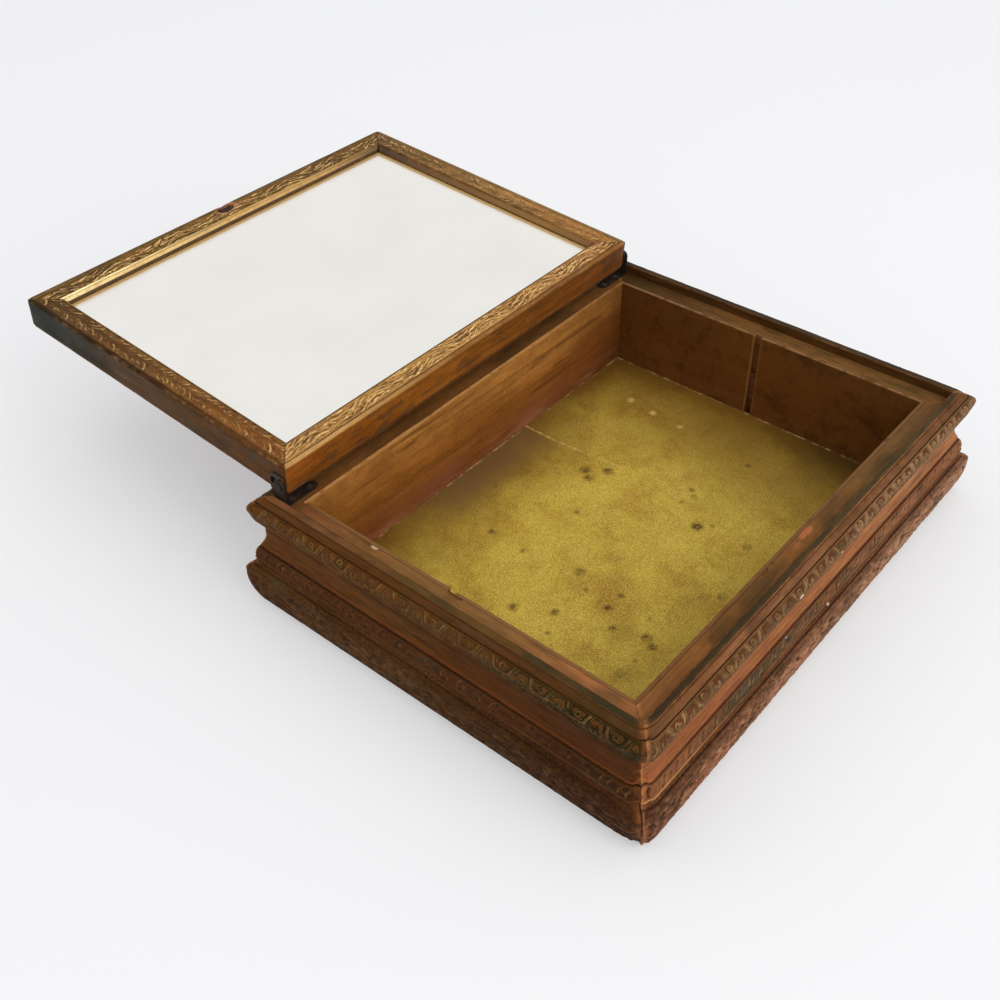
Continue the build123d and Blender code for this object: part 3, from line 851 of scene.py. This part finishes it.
boxMarks = {
    "front": [
        (-38.9, 2.0, 73.0, 3.4, 2.0, 3.0, 1.5, None), (-31.0, 2.0, 73.0, 1.6, 1.2, 2.0, 0.8, None),
        (2.0, 4.4, 73.0, 7.0, 2.2, 2.0, 0.0, (164, 98, 58)), (-10.0, 6.0, 73.0, 4.0, 1.4, 2.0, 0.0, (150, 90, 54)),
        chip(25.8, 24.6, 64.7, 1.4, 0.9), chip(11.2, 24.3, 63.4, 1.0, 0.8), chip(-34.2, 24.3, 63.4, 2.0, 0.8),
        chip(3.7, 26.5, 29.8, 1.3, 1.0), chip(-45.2, 24.2, 39.6, 2.4, 0.9),
        (-43.0, 24.4, 37.6, 3.5, 3.0, 2.0, 0.2, (40, 44, 30))],
    "left": [
        (0.5, 2.0, 73.0, 6.0, 2.2, 3.0, 1.6, None), chip(-2.3, 25.6, 70.5, 1.2, 0.9),
        (-58.0, 3.2, 73.0, 3.0, 1.0, 2.0, 0.0, (190, 160, 120))],
}
nearCorner = {"front": (2.8, 0.6), "left": (0.6, 2.8)}
footCorner = {"front": (3.4, 0.6), "left": (0.6, 3.4)}
scrollCarving = stampedPattern(scroll["width"], scrollStrokes, 0.9, 0.3, scroll["ground"])
leafCarving = stampedPattern(leafRun["width"], leafRunStrokes, 0.6, 0.3, leafRun["ground"])
mouldings = {
    "steps": 420, "arris": 0.3, "waver": 0.12, "corner": nearCorner, "cornerFrom": 13.0, "slot": "moulding_wood",
    "seed": 3, "faces": ["ledge", "lipInside", "lip", "fillet", "brow", "fascia", "foot"], "marks": boxMarks,
    "palette": bySide(upperFront, upperLeft, upperRight, upperBack), "rubbed": {"left": 0.35},
    "figure": {"ledge": 0.45, "lip": 0.35, "fillet": 0.7, "quirk": 0.3, "fascia": 1.0},
    # painted shadow of the lip on the ledge at its foot; the lip's outer half goes brown so its inner half stays
    # dark, partly dark paint and partly painted shade; on the left, painted shade at the top of the fascia under
    # the scroll
    "shade": {
        "front": {"ledge": (7.2, 11.8, (56, 44, 24), 0.75), "lip": (2.2, 4.6, (112, 74, 44), 0.8)},
        "left": {"ledge": (9.5, 11.8, (64, 46, 24), 0.5), "lip": (3.0, 4.8, (92, 60, 32), 0.5),
                 "fascia": (12, 4, (52, 31, 11), 0.8)}},
    "patina": {"lip": ((44, 42, 26), 0.5, 22, 0.1), "ledge": ((64, 52, 28), 0.55, 30, 0.12),
               "fillet": ((84, 56, 34), 0.6, 20, 0.1)},
}
torusWork = {
    "steps": 560, "arris": 0.25, "waver": 0.15, "corner": footCorner, "cornerFrom": 17.0, "slot": "base_wood",
    "seed": 71, "faces": ["cove", "hollow", "torus"], "marks": boxMarks, "plainEnd": 3.0,
    "palette": bySide(baseFront, baseLeft), "rubbed": {"left": 0.4},
    "carved": {"torus": {"pattern": barkPattern, "depth": 1.8, "contrast": 1.2}},
    "patina": {"torus": ((70, 60, 38), 0.6, 24, 0.2)},
    # painted shade on the top of the torus, under the cove and leaf strip above it
    "shade": {"front": {"torus": (7.0, 2.0, (66, 42, 26), 0.6)}, "left": {"torus": (6.0, 1.0, (58, 36, 16), 0.1)}},
    "gap": {"front": (0.55, 0.1), "left": (0.1, 0.55)}, "spring": {"front": (1.9, 0.4), "left": (0.6, -2.2)},
}
scrollWork = {
    "steps": 760, "arris": 0.0, "waver": 0.05, "corner": nearCorner, "cornerFrom": 13.0, "slot": "scroll_ornament",
    "seed": 113, "faces": ["scroll"], "marks": boxMarks, "plainEnd": 4.0,
    "palette": bySide(scrollFront, scrollLeft),
    "carved": {"scroll": {"pattern": scrollCarving, "depth": 1.5, "contrast": 1.9}},
    "patina": {"scroll": ((66, 58, 32), 0.55, 13, 0.1)},
}
leafWork = {
    "steps": 640, "arris": 0.2, "waver": 0.05, "corner": footCorner, "cornerFrom": 17.0, "slot": "leaf_ornament",
    "seed": 151, "faces": ["leaf", "foot"], "marks": boxMarks, "plainEnd": 3.0,
    "palette": bySide(leafFront, leafLeft), "carved": {"leaf": {"pattern": leafCarving, "depth": 1.0}},
    "rubbed": {"left": 0.3},
    "patina": {"leaf": ((60, 50, 28), 0.7, 15, 0.1)},
}
# by the way the grain runs: along X on the front and back and along Y on the left and right; the Y set is darker,
# partly as painted shade
woodAndShadeTones = {
    "x": {"hollowShadeAndDirtColour": (56, 42, 22), "crestHighlightAndWearColour": (182, 136, 88), "wornColour": (190, 124, 74)},
    "y": {"hollowShadeAndDirtColour": (34, 25, 12), "crestHighlightAndWearColour": (128, 94, 52), "wornColour": (150, 92, 48)},
}
for side, grain in grainOf.items():
    long = side in longSides
    red = (0.66, 0.5, 0.4) if long else (0.82, 0.62, 0.5)
    # on the short sides the carving's painted shade and highlight are weaker, and its crests are darker as painted
    # shade
    strong = 1.0 if long else 0.45
    for part, solid, work, profile, finish in (
        ("upper_moulding", "upper_rail", mouldings, upperProfile(), {
            "second": red, "grainDepth": 0.4, "lines": 0.45}),
        ("base_moulding", "base_rail", torusWork, baseProfile(), {
            "second": red, "hollow": 0.95 * strong, "hollowFrom": 0.48, "crest": 0.55 * strong, "crestFrom": 0.56,
            "crestHighlightAndWearColour": (184, 136, 98) if long else (130, 94, 54), "speck": 0.5, "speckScale": 620}),
        ("scroll", "scroll_strip", scrollWork, scrollProfile(), {
            "second": (0.7, 0.62, 0.5), "mottle": 0.25, "hollow": 0.9, "hollowFrom": 0.48, "crest": 0.7,
            "crestFrom": 0.58, "grainDepth": 0.15, "speck": 0.35,
            "crestHighlightAndWearColour": (166, 122, 80) if long else (124, 92, 50)}),
        ("leaf_run", "leaf_strip", leafWork, leafProfile(), {
            "second": red, "mottle": 0.35, "hollow": 0.85, "hollowFrom": 0.46, "crest": 0.5, "crestFrom": 0.62,
            "grainDepth": 0.15, "speck": 0.3}),
    ):
        piece = mouldedLength(f"{side}_{part}", side, f"{side}_{solid}", box, profile, work)
        look = {"layered": True, "grain": grain, **woodAndShadeTones[grain], **finish}
        dress(piece, agedWood(f"{part.split('_')[0]}Stain_{side}", look))
print("mouldings of the box done")


# The lid's frame and its gilt slip

def lidProfile():
    low = lid["bottom"]
    top = low + lid["thick"]
    return tracedProfile((0.0, low + 0.9), [
        (-0.9, low, 0.18, "arris", 0.3),
        (-2.8, low, 0, "arris", 0.5),
        (-2.8, low + 0.6, 0, "groove", 0.4),
        (-3.4, low + 0.6, 0, "groove", 0.4),
        (-3.4, low + 0.3, 0, "groove", 0.4),
        (-15.3, low + 0.3, 0.3, "band", 0.4),
        (-15.3, low + 0.9, 0, "bead", 0.4),
        (-16.7, low + 1.0, 0.3, "bead", 0.4),
        (-16.7, low + 5.1, 0, "inner", 1.2),
        (-13.5, low + 5.1, 0, "inner", 2.0),
        (-13.5, top, 0, "inner", 6.0),
        (-1.5, top, 0, "outer", 1.5),
        (0.0, top - 1.5, 0.435, "outer", 0.5),
        (0.0, low + 0.9, 0, "side", 1.2),
    ])


def slipProfile():
    low = lid["bottom"]
    return tracedProfile((-16.7, low + 5.1), [
        (-16.7, low + 1.0, 0, "hidden", 2.0),
        (-18.3, low + 2.6, -0.2, "gilt", 0.5),
        (-19.3, low + 3.9, -0.1, "giltLow", 0.5),
        (-19.3, low + 5.1, 0, "edge", 0.6),
        (-16.7, low + 5.1, 0, "hidden", 1.5),
    ])


lidDull = {"inner": (46, 28, 14), "outer": (104, 62, 36)}
lidPalette = {
    "front": dict(
        lidDull, arris=(92, 72, 40), groove=(116, 82, 46), side=(74, 58, 38),
        bead={-140: (255, 236, 180), -90: (246, 214, 148), 0: (208, 168, 102), 90: (200, 160, 98),
              140: (110, 80, 40)},
        band={-140: (104, 76, 36), -40: (132, 97, 46), 140: (120, 88, 45)}),
    "back": dict(
        lidDull, arris={-140: (128, 84, 38), 20: (142, 96, 46), 140: (176, 134, 80)}, groove=(64, 39, 13),
        bead=(96, 65, 33), side={-140: (114, 65, 26), 20: (140, 84, 30), 140: (134, 76, 25)},
        band={-140: (168, 120, 70), 80: (188, 140, 76), 140: (190, 138, 78)}),
    "left": dict(
        # the left bead is nearly black as painted shadow beside the mirror
        lidDull, arris={-105: (92, 52, 15), 0: (56, 31, 5), 100: (42, 33, 15)}, groove=(80, 52, 25),
        bead={-105: (46, 29, 11), -40: (48, 30, 9), 0: (34, 21, 6), 40: (38, 24, 8), 105: (52, 35, 16)},
        side={-105: (90, 57, 27), 20: (83, 59, 34), 60: (58, 53, 42), 100: (46, 48, 42)},
        band={-105: (128, 80, 37), 0: (112, 76, 34), 100: (88, 61, 30)}),
    "right": dict(
        lidDull, arris=(126, 100, 66), groove=(122, 86, 50), side=(84, 58, 34),
        bead={-105: (62, 40, 18), -60: (90, 58, 22), 30: (96, 64, 26), 80: (142, 100, 40), 105: (136, 92, 36)},
        band={-105: (116, 88, 54), 0: (152, 112, 62), 100: (158, 110, 58)}),
}
giltPalette = {
    "front": {-140: (255, 226, 160), -90: (240, 204, 136), 0: (214, 174, 106), 90: (196, 154, 90),
              140: (120, 88, 46)},
    "right": {-105: (54, 34, 14), -40: (110, 76, 32), 60: (138, 98, 44), 100: (124, 84, 34)},
    "back": (206, 170, 106), "left": (200, 164, 100),
}
# what the lost catch has left on the front rail
lidMarks = {"front": [
    (1.7, -5.6, 74.2, 10.5, 6.2, 4.0, 0.1, (172, 118, 82)), (1.0, -5.0, 74.2, 7.6, 4.8, 4.0, 0.9, (128, 84, 66)),
    (1.4, -4.6, 74.2, 5.8, 3.6, 4.0, 1.9, (82, 68, 64))]}
for side, grain in grainOf.items():
    long = side in longSides
    blades, ground = (laurelStrokes, 0.0) if long else (featherStrokes, 0.3)
    dirt = ((78, 56, 28), 0.7, 9, 0.05) if side == "front" else ((96, 58, 30), 0.5, 12, 0.1)
    piece = mouldedLength(f"lid_{side}_moulding", side, f"lid_{side}_rail", lid, lidProfile(), {
        "steps": 880, "endWear": 0.15, "seam": 0.85, "arris": 0.22, "waver": 0.1, "cornerFrom": -6.0,
        "slot": "lid_wood", "seed": 211, "faces": ["arris", "band", "side", "outer", "groove", "bead"],
        "palette": lidPalette, "marks": lidMarks, "patina": {"side": ((58, 54, 42), 0.5, 12, 0.1), "band": dirt},
        "carved": {"band": {"pattern": stampedPattern(laurel["width"], blades, 0.8, 0.35, ground), "depth": 0.45}},
    })
    dress(piece, agedWood(f"lidStain_{side}", {
        "layered": True, "grain": grain, "hollow": 0.75, "hollowFrom": 0.46, "hollowShadeAndDirtColour": (70, 44, 20),
        "crest": 0.8 if long else 0.55, "crestFrom": 0.58, "crestHighlightAndWearColour": (228, 184, 116),
        "second": (0.55, 0.45, 0.35), "speck": 0.25, "wornColour": (200, 150, 92), "grainDepth": 0.2,
        "fleck": 0.9 if long else 0.4, "fleckColour": (250, 214, 150)}))

    gold = giltPalette[side]
    piece = mouldedLength(f"slip_{side}", side, f"gilt_slip_{side}", lid, slipProfile(), {
        "steps": 120, "arris": 0.08, "waver": 0.04, "cornerFrom": 0.0, "slot": "gilt", "seed": 301, "cloud": 0.06,
        "faces": ["gilt", "giltLow"],
        # the front slip's lower face is dark as painted shade at the mirror's edge
        "palette": {side: {"hidden": (60, 38, 18), "gilt": gold, "edge": (96, 66, 30),
                           "giltLow": (74, 48, 22) if side == "front" else gold}},
    })
    freshMaterial(f"giltLeaf_{side}")
    plain = objectPlace()
    rubs = remap(noise(plain, 260, 5), 0.48, 0.72)
    dress(piece, coated({
        "Base Color": laid(readLayer("stain", "Color"), (140, 92, 48), times(rubs, 0.4)), "Metallic": 0.3,
        "Roughness": remap(rubs, 0, 1, 0.36, 0.6), "Normal": bumpOf(noise(plain, 900, 3), 0.12, 0.0003)}))
print("lid frame done")


# The mirror

mirror = {"inset": 13.8, "face": 5.55, "back": 7.9, "bevel": 0.3, "halfX": 146.5, "halfY": 104.0, "middleY": 243.6}
shape = bmesh.new()
bmesh.ops.create_cube(shape, size=1)
bmesh.ops.scale(shape, verts=shape.verts, vec=(
    2 * (lid["halfX"] - mirror["inset"]), 2 * (lid["halfY"] - mirror["inset"]), mirror["back"] - mirror["face"]))
bmesh.ops.translate(shape, verts=shape.verts, vec=(
    0, lid["middle"], lid["bottom"] + (mirror["face"] + mirror["back"]) / 2))
bmesh.ops.bevel(
    shape, geom=shape.edges, offset=mirror["bevel"], affect="EDGES", segments=2, profile=0.5, material=-1)
glass = laidBack("mirror_plate", shape, "mirror_glass")
freshMaterial("silverWithPaintedReflection")
plain = objectPlace()
place = axes(plain)
clouds = noise(plain, 18, 4)
silver = blend(remap(clouds, 0.3, 0.75), linear(250, 249, 246), linear(244, 243, 238))
# a painted reflection of the gilt slip: a gold band along the two far edges, where the mirror is also made less
# metallic
nearRight = minus(mirror["halfX"] * mm, place["X"])
nearFar = minus((mirror["middleY"] + mirror["halfY"]) * mm, place["Y"])
fromSlip = plus(smaller(nearRight, nearFar), around(noise(plain, 90, 3), 0.3, 0.0006))
slipReflection = remap(fromSlip, 0.0085, 0.0018)
slipReflection = times(slipReflection, slipReflection)
silver = laid(silver, (206, 168, 104), slipReflection)
specks = spotMask(plain, [(-0.1013, 0.1779, 0.7, 1), (-0.1005, 0.1768, 0.7, 1)], 0.0926, 1)
dress(glass, coated({
    "Base Color": laid(silver, (60, 56, 50), specks), "Metallic": remap(slipReflection, 0, 1, 1, 0.15),
    "Roughness": remap(clouds, 0.3, 0.75, 0.03, 0.06)}))
print("mirror done")


# Plain boards, linings, paper and iron stay as the solids, with their own finish

# the right wall's set is darker, partly stain and partly painted shade
linings = {
    "back": {"top": (172, 117, 56), "middle": (146, 90, 36), "low": (130, 76, 34), "arris": (190, 136, 78)},
    "right": {"top": (94, 58, 23), "middle": (96, 56, 20), "low": (108, 66, 27), "arris": (128, 92, 54)},
    "front": {"top": (114, 76, 40), "middle": (100, 60, 28), "low": (90, 52, 24), "arris": (114, 76, 40)},
    "left": {"top": (124, 84, 46), "middle": (100, 60, 28), "low": (90, 52, 24), "arris": (124, 84, 46)},
}


def liningStain(node):
    # dark and rubbed, with its own tones from the paper up to the ledge
    side = node.split("_")[0]
    atBack = side == "back"
    tones = linings[side]
    freshMaterial(f"liningStain_{node}")
    plain = objectPlace()
    place = axes(plain)
    lengthwise = objectPlace((0.09, 1, 1) if side in longSides else (1, 0.09, 1))
    tilt = plus(place["Z"], around(noise(lengthwise, 40, 3), 0.3, 0.012))
    colour = ramp(remap(tilt, 0.008, 0.073), [
        (0.0, tones["low"]), (0.16, tones["low"]), (0.55, tones["middle"]), (1.0, tones["top"])])
    grain = noise(lengthwise, 420, 5, 0.62, 0.3)
    streaks = noise(lengthwise, 120, 4, 0.6, 0.8)
    strong = 1.0 if atBack else 0.4
    depth = plus(around(grain, 0.3, 0.14 * strong), around(streaks, 0.34, 0.2 * strong))
    depth = plus(depth, around(noise(plain, 420, 4, 0.7), 0.3, 0.16))
    colour = shaded(colour, plus(depth, 1.0))
    colour = laid(colour, tones["low"], remap(noise(plain, 30, 5, 0.6, 0.5), 0.5, 0.72, 0, 0.5))
    grime = remap(noise(plain, 64, 5, 0.65, 0.6), 0.5, 0.66, 0, 0.25 if atBack else 0.6)
    colour = laid(colour, (100, 58, 26) if atBack else (60, 34, 14), grime)
    if side == "right":
        # painted highlight along the slot's edges, strongest on the lit end face of the rear length
        cut = min((corner[1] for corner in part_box(node)), key=abs)
        beside = remap(absolute(minus(place["Y"], cut)), 0.0016, 0.0006)
        colour = laid(colour, (140, 94, 50), times(beside, 0.8 if cut > 0 else 0.35))
    rubbed = times(remap(place["Z"], 0.0722, 0.0728), remap(noise(plain, 160, 3), 0.35, 0.5))
    colour = laid(colour, tones["arris"], rubbed)
    if atBack:
        # long cracks, a red flush low down, a dark far end and scuffs just over the paper
        cracks = remap(noise(objectPlace((0.05, 1, 1)), 210, 5, 0.6, 0.8), 0.57, 0.66, 0, 0.55)
        colour = laid(colour, (70, 38, 16), cracks)
        flush = times(remap(place["Z"], 0.034, 0.016), remap(noise(plain, 26, 4), 0.4, 0.6))
        colour = laid(colour, (134, 78, 52), times(flush, 0.6))
        colour = laid(colour, (84, 44, 16), remap(place["X"], 0.06, 0.15, 0, 0.55))
        smear = remap(noise(objectPlace((0.22, 1, 1)), 130, 4, 0.65), 0.46, 0.62)
        scuffed = times(remap(place["Z"], 0.022, 0.012), smear)
        colour = laid(colour, (168, 112, 80), times(scuffed, 0.5))
    return coated({
        "Base Color": colour, "Roughness": remap(streaks, 0.3, 0.7, 0.42, 0.6), "Specular IOR Level": 0.12,
        "Normal": bumpOf(plus(grain, streaks), 0.15, 0.0004)})


for node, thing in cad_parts.items():
    if "lining" in node:
        dress(thing, liningStain(node))
    elif node in ("bottom_board", "backing_board"):
        dress(thing, agedWood(f"rawBoard_{node}", {
            "grain": "x", "stain": (150, 112, 72), "second": (0.52, 0.44, 0.36), "rough": 0.7}))
    elif node == "lid_panel" or node.startswith("cover_bead"):
        grain = "x" if node == "lid_panel" else grainOf[node.split("_")[-1]]
        dress(thing, agedWood(f"outerStain_{node}", {
            "grain": grain, "stain": (112, 66, 38), "second": (0.42, 0.36, 0.4)}))

# each spot's X and Y in metres, its radius in millimetres and its strength
paper = {
    "spots": [
        (0.0327, 0.0531, 4.2, 0.8), (0.0272, 0.0465, 3.6, 0.85), (0.0416, 0.0405, 4.1, 0.85),
        (0.0326, -0.0358, 4.6, 0.95), (-0.0709, -0.0719, 3.4, 0.9), (-0.0738, -0.0465, 3.8, 0.8),
        (-0.067, -0.0658, 3.7, 0.85), (-0.0619, -0.0343, 2.8, 0.9), (0.0608, -0.0137, 2.4, 0.85),
        (-0.0546, 0.0617, 3.1, 0.85), (-0.048, -0.0032, 4.2, 0.75), (-0.0846, -0.0122, 3.0, 0.85),
        (-0.0488, -0.0345, 2.4, 0.8), (-0.0973, 0.0096, 3.7, 0.75), (-0.0049, 0.0316, 2.2, 0.7),
        (-0.1105, 0.0505, 3.5, 0.7), (-0.0557, 0.0354, 2.2, 0.7), (0.1057, -0.0291, 2.2, 0.65),
        (0.0557, -0.0186, 2.8, 0.6), (-0.0111, -0.0814, 3.8, 0.6), (0.039, -0.0428, 2.0, 0.6),
        (-0.1005, -0.0193, 2.0, 0.6), (-0.0983, -0.07, 5.0, 0.55), (0.0362, -0.0701, 3.6, 0.55),
        (-0.0859, -0.0705, 1.8, 0.5), (-0.0582, -0.0153, 2.0, 0.5), (0.0465, -0.0153, 1.8, 0.5),
        (-0.0534, -0.0586, 2.4, 0.4), (-0.0725, -0.05, 9.5, 0.3), (-0.097, -0.072, 9.0, 0.25)],
    "pale": [(0.1175, 0.0749, 3.2, 0.8), (0.1146, 0.0538, 3.0, 0.9), (0.113, 0.030, 2.4, 0.7)],
}
freshMaterial("goldPaper")
plain = objectPlace()
place = axes(plain)
mottle = noise(plain, 26, 5, 0.6, 0.4)
colour = ramp(remap(mottle, 0.3, 0.7), [(0.0, (160, 120, 38)), (0.45, (192, 160, 58)), (1.0, (206, 176, 72))])
colour = laid(colour, (128, 88, 28), remap(noise(plain, 50, 5, 0.65, 0.9), 0.5, 0.68, 0, 0.28))
fine = noise(plain, 1500, 3, 0.8)
colour = laid(colour, (98, 76, 22), remap(fine, 0.52, 0.64, 0, 0.85))
colour = laid(colour, (236, 214, 122), remap(fine, 0.46, 0.34, 0, 0.75))
# darker toward the back, the right and the front, partly browning and partly painted shade by the walls
cloud = noise(plain, 14, 4)
toBack = remap(plus(place["Y"], around(cloud, 0.3, 0.014)), 0.055, 0.112)
toRight = remap(plus(place["X"], around(cloud, 0.3, 0.018)), 0.045, 0.15)
toFront = remap(place["Y"], -0.06, -0.112, 0, 0.35)
brownedAndShaded = larger(larger(toBack, times(toRight, 0.95)), toFront)
colour = laid(colour, (98, 60, 18), times(brownedAndShaded, 0.88))
# a grey pool in the middle of the far edge, and a darker front right corner, partly stain and partly painted shade
# by the right wall
pool = times(remap(place["Y"], 0.08, 0.1), remap(place["X"], 0.046, 0.041))
pool = times(pool, remap(place["X"], -0.09, -0.03))
pool = times(pool, remap(noise(plain, 30, 3), 0.2, 0.6, 0.4, 0.85))
colour = laid(colour, (115, 86, 50), pool)
toCorner = remap(plus(place["X"], around(cloud, 0.3, 0.01)), 0.118, 0.15)
colour = laid(colour, (66, 46, 16), times(toCorner, remap(place["Y"], -0.01, -0.06, 0, 0.65)))
ragged = noise(plain, 340, 4)
level = box["paperTop"] * mm
marks = spotMask(plain, paper["spots"], level, 1.25)
colour = laid(colour, (78, 52, 22), times(marks, remap(ragged, 0.25, 0.55)))
bleached = spotMask(plain, paper["pale"], level, 1.2)
colour = laid(colour, (206, 168, 104), times(bleached, remap(ragged, 0.3, 0.5)))
# a slanting seam in the far half, then the frayed edges
offSeam = minus(place["X"], 0.0482)
offSeam = plus(offSeam, remap(place["Y"], 0.0215, 0.0887, -0.0035, 0.0028))
seam = times(remap(absolute(offSeam), 0.0012, 0.0002), remap(place["Y"], 0.02, 0.04))
seam = times(seam, remap(noise(plain, 260, 4), 0.4, 0.6, 0, 0.8))
colour = laid(colour, (206, 176, 104), seam)
edge = larger(remap(absolute(place["X"]), 0.1542, 0.156), remap(absolute(place["Y"]), 0.1125, 0.1143))
edge = times(edge, remap(noise(plain, 110, 5, 0.7), 0.48, 0.62, 0, 0.8))
dress(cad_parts["floor_paper"], coated({
    "Base Color": laid(colour, (200, 166, 120), edge), "Roughness": 0.6, "Specular IOR Level": 0.1,
    "Normal": bumpOf(plus(fine, mottle), 0.15, 0.0002)}))

freshMaterial("blackIron")
plain = objectPlace()
crust = noise(plain, 420, 5, 0.65)
black = ramp(crust, [(0.3, (24, 20, 17)), (0.7, (48, 40, 34))])
rust = remap(noise(plain, 160, 4), 0.5, 0.7, 0, 0.7)
ironMaterial = coated({
    "Base Color": laid(black, (78, 48, 28), rust), "Specular IOR Level": 0.25,
    "Roughness": remap(crust, 0.3, 0.7, 0.45, 0.7), "Normal": bumpOf(crust, 0.35, 0.0003)})
freshMaterial("rubbedScrew")
crust = noise(objectPlace(), 600, 4)
screwMaterial = coated({
    "Base Color": ramp(crust, [(0.35, (44, 36, 32)), (0.7, (104, 90, 80))]), "Metallic": 0.3, "Roughness": 0.5,
    "Normal": bumpOf(crust, 0.2, 0.0002)})
for node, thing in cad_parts.items():
    if "screws" in node:
        dress(thing, screwMaterial)
    elif any(word in node for word in ("hinge", "plate", "nails", "pins")):
        dress(thing, ironMaterial)
print("finishes done")


# The plates on the ends of the lid: worn round at one end, with the hole for the pivot

plate = {
    "fromX": 165.8, "thick": 1.4, "edge": 0.3, "middleY": 120.6, "middleZ": 87.7, "halfY": 5.8, "halfZ": 6.5,
    "round": 4.6, "square": 1.0, "pivot": 1.75, "points": 56,
}


def plateRim(dy, dz, inset):
    # where a line from the plate's middle leaves its rounded oblong
    halfY, halfZ = plate["halfY"] - inset, plate["halfZ"] - inset
    curve = plate["round"] if dz < 0 else plate["square"]
    reach = min(halfY / max(abs(dy), tiny), halfZ / max(abs(dz), tiny))
    y, z = reach * dy, reach * dz
    overY, overZ = abs(y) - (halfY - curve), abs(z) - (halfZ - curve)
    if overY > 0 and overZ > 0:
        long = math.hypot(overY, overZ)
        y = math.copysign(halfY - curve + overY * curve / long, y)
        z = math.copysign(halfZ - curve + overZ * curve / long, z)
    return plate["middleY"] + y, plate["middleZ"] + z


thick, edge = plate["thick"], plate["edge"]
for side, turn in (("left", -1), ("right", 1)):
    shape = bmesh.new()
    rings = []
    # four turns round the rim and the hole, from the lid outward and back; None stands for the hole
    for across, inset in ((0, 0), (thick - edge, 0), (thick, edge), (thick, None), (0, None)):
        ring = []
        for step in range(plate["points"]):
            angle = 2 * math.pi * step / plate["points"]
            dy, dz = math.cos(angle), math.sin(angle)
            if inset is None:
                y, z = lid["pivotY"] + plate["pivot"] * dy, lid["pivotZ"] + plate["pivot"] * dz
            else:
                y, z = plateRim(dy, dz, inset)
            ring.append(shape.verts.new((turn * (plate["fromX"] + across), y, z)))
        rings.append(ring)
    for one, other in zip(rings, rings[1:] + rings[:1]):
        for step in range(plate["points"]):
            after = (step + 1) % plate["points"]
            shape.faces.new((one[step], one[after], other[after], other[step]))
    bmesh.ops.recalc_face_normals(shape, faces=shape.faces)
    dress(laidBack(f"{side}_plate_iron", shape, f"{side}_lid_plate"), ironMaterial)
print("plates done")


# Floor, light and camera

shape = bmesh.new()
bmesh.ops.create_grid(shape, x_segments=1, y_segments=1, size=6)
floor = bpy.data.objects.new("floor", finishedMesh("floor", shape))
bpy.context.scene.collection.objects.link(floor)
freshMaterial("paleFloor")
dress(floor, coated({
    "Base Color": blend(noise(objectPlace(), 2, 3), linear(243, 243, 244), linear(240, 240, 242)),
    "Roughness": 0.8, "Specular IOR Level": 0.1}))
# seen straight on, part of the floor's shade is lifted to the plain pale ground of the photograph
lifted = made("Emission", {"Color": linear(243, 243, 244)}).outputs["Emission"]
share = times(made("LightPath", {}).outputs["Is Camera Ray"], 0.4)
mixed = made("MixShader", {"Fac": share, 1: paint["shader"].outputs["BSDF"], 2: lifted})
feed(paint["ending"].inputs["Surface"], mixed.outputs["Shader"])

studio = {
    "fill": 0.84, "fillTone": (0.98, 0.99, 1.0), "seenTone": linear(241, 240, 238), "aim": (0, 0.05, 0.05),
    "lamps": {
        "frontLamp": {"place": (-0.05, -2.0, 1.5), "energy": 21.0, "size": 2.2},
        "overheadLamp": {"place": (0.1, 0.0, 2.4), "energy": 7.0, "size": 3.0},
    },
}
world = bpy.data.worlds.new("studio")
bpy.context.scene.world = world
world.use_nodes = True
paint["tree"] = world.node_tree
world.node_tree.nodes.clear()
soft = made("Background", {"Color": studio["fillTone"], "Strength": studio["fill"]}).outputs["Background"]
seen = made("Background", {"Color": studio["seenTone"], "Strength": 1.0}).outputs["Background"]
ray = made("LightPath", {}).outputs
direct = larger(ray["Is Camera Ray"], larger(ray["Is Glossy Ray"], ray["Is Transmission Ray"]))
choice = made("MixShader", {"Fac": direct, 1: soft, 2: seen})
made("OutputWorld", {"Surface": choice.outputs["Shader"]})
for name, lamp in studio["lamps"].items():
    light = bpy.data.lights.new(name, "AREA")
    light.shape = "DISK"
    light.size = lamp["size"]
    light.energy = lamp["energy"]
    holder = bpy.data.objects.new(name, light)
    holder.location = lamp["place"]
    aim = Vector(studio["aim"]) - Vector(lamp["place"])
    holder.rotation_euler = aim.to_track_quat("-Z", "Y").to_euler()
    holder.visible_glossy = False
    bpy.context.scene.collection.objects.link(holder)

eye = {
    "place": (-0.49929, -0.31725, 0.5432), "sensor": 36, "lens": 44.671, "shiftX": 0.02823, "shiftY": -0.03628,
    "right": (0.65222, -0.757797, -0.018767), "up": (0.489606, 0.402235, 0.773623),
    "behind": (-0.578701, -0.513761, 0.633368),
}
camera = bpy.data.cameras.new("camera")
camera.sensor_width = eye["sensor"]
camera.lens = eye["lens"]
camera.shift_x = eye["shiftX"]
camera.shift_y = eye["shiftY"]
camera.clip_start = 0.01
camera.dof.use_dof = False
holder = bpy.data.objects.new("camera", camera)
turn = Matrix((eye["right"], eye["up"], eye["behind"])).transposed()
holder.matrix_world = Matrix.Translation(eye["place"]) @ turn.to_4x4()
bpy.context.scene.collection.objects.link(holder)
bpy.context.scene.camera = holder
bpy.context.scene.view_settings.view_transform = "Standard"

print("stage done")
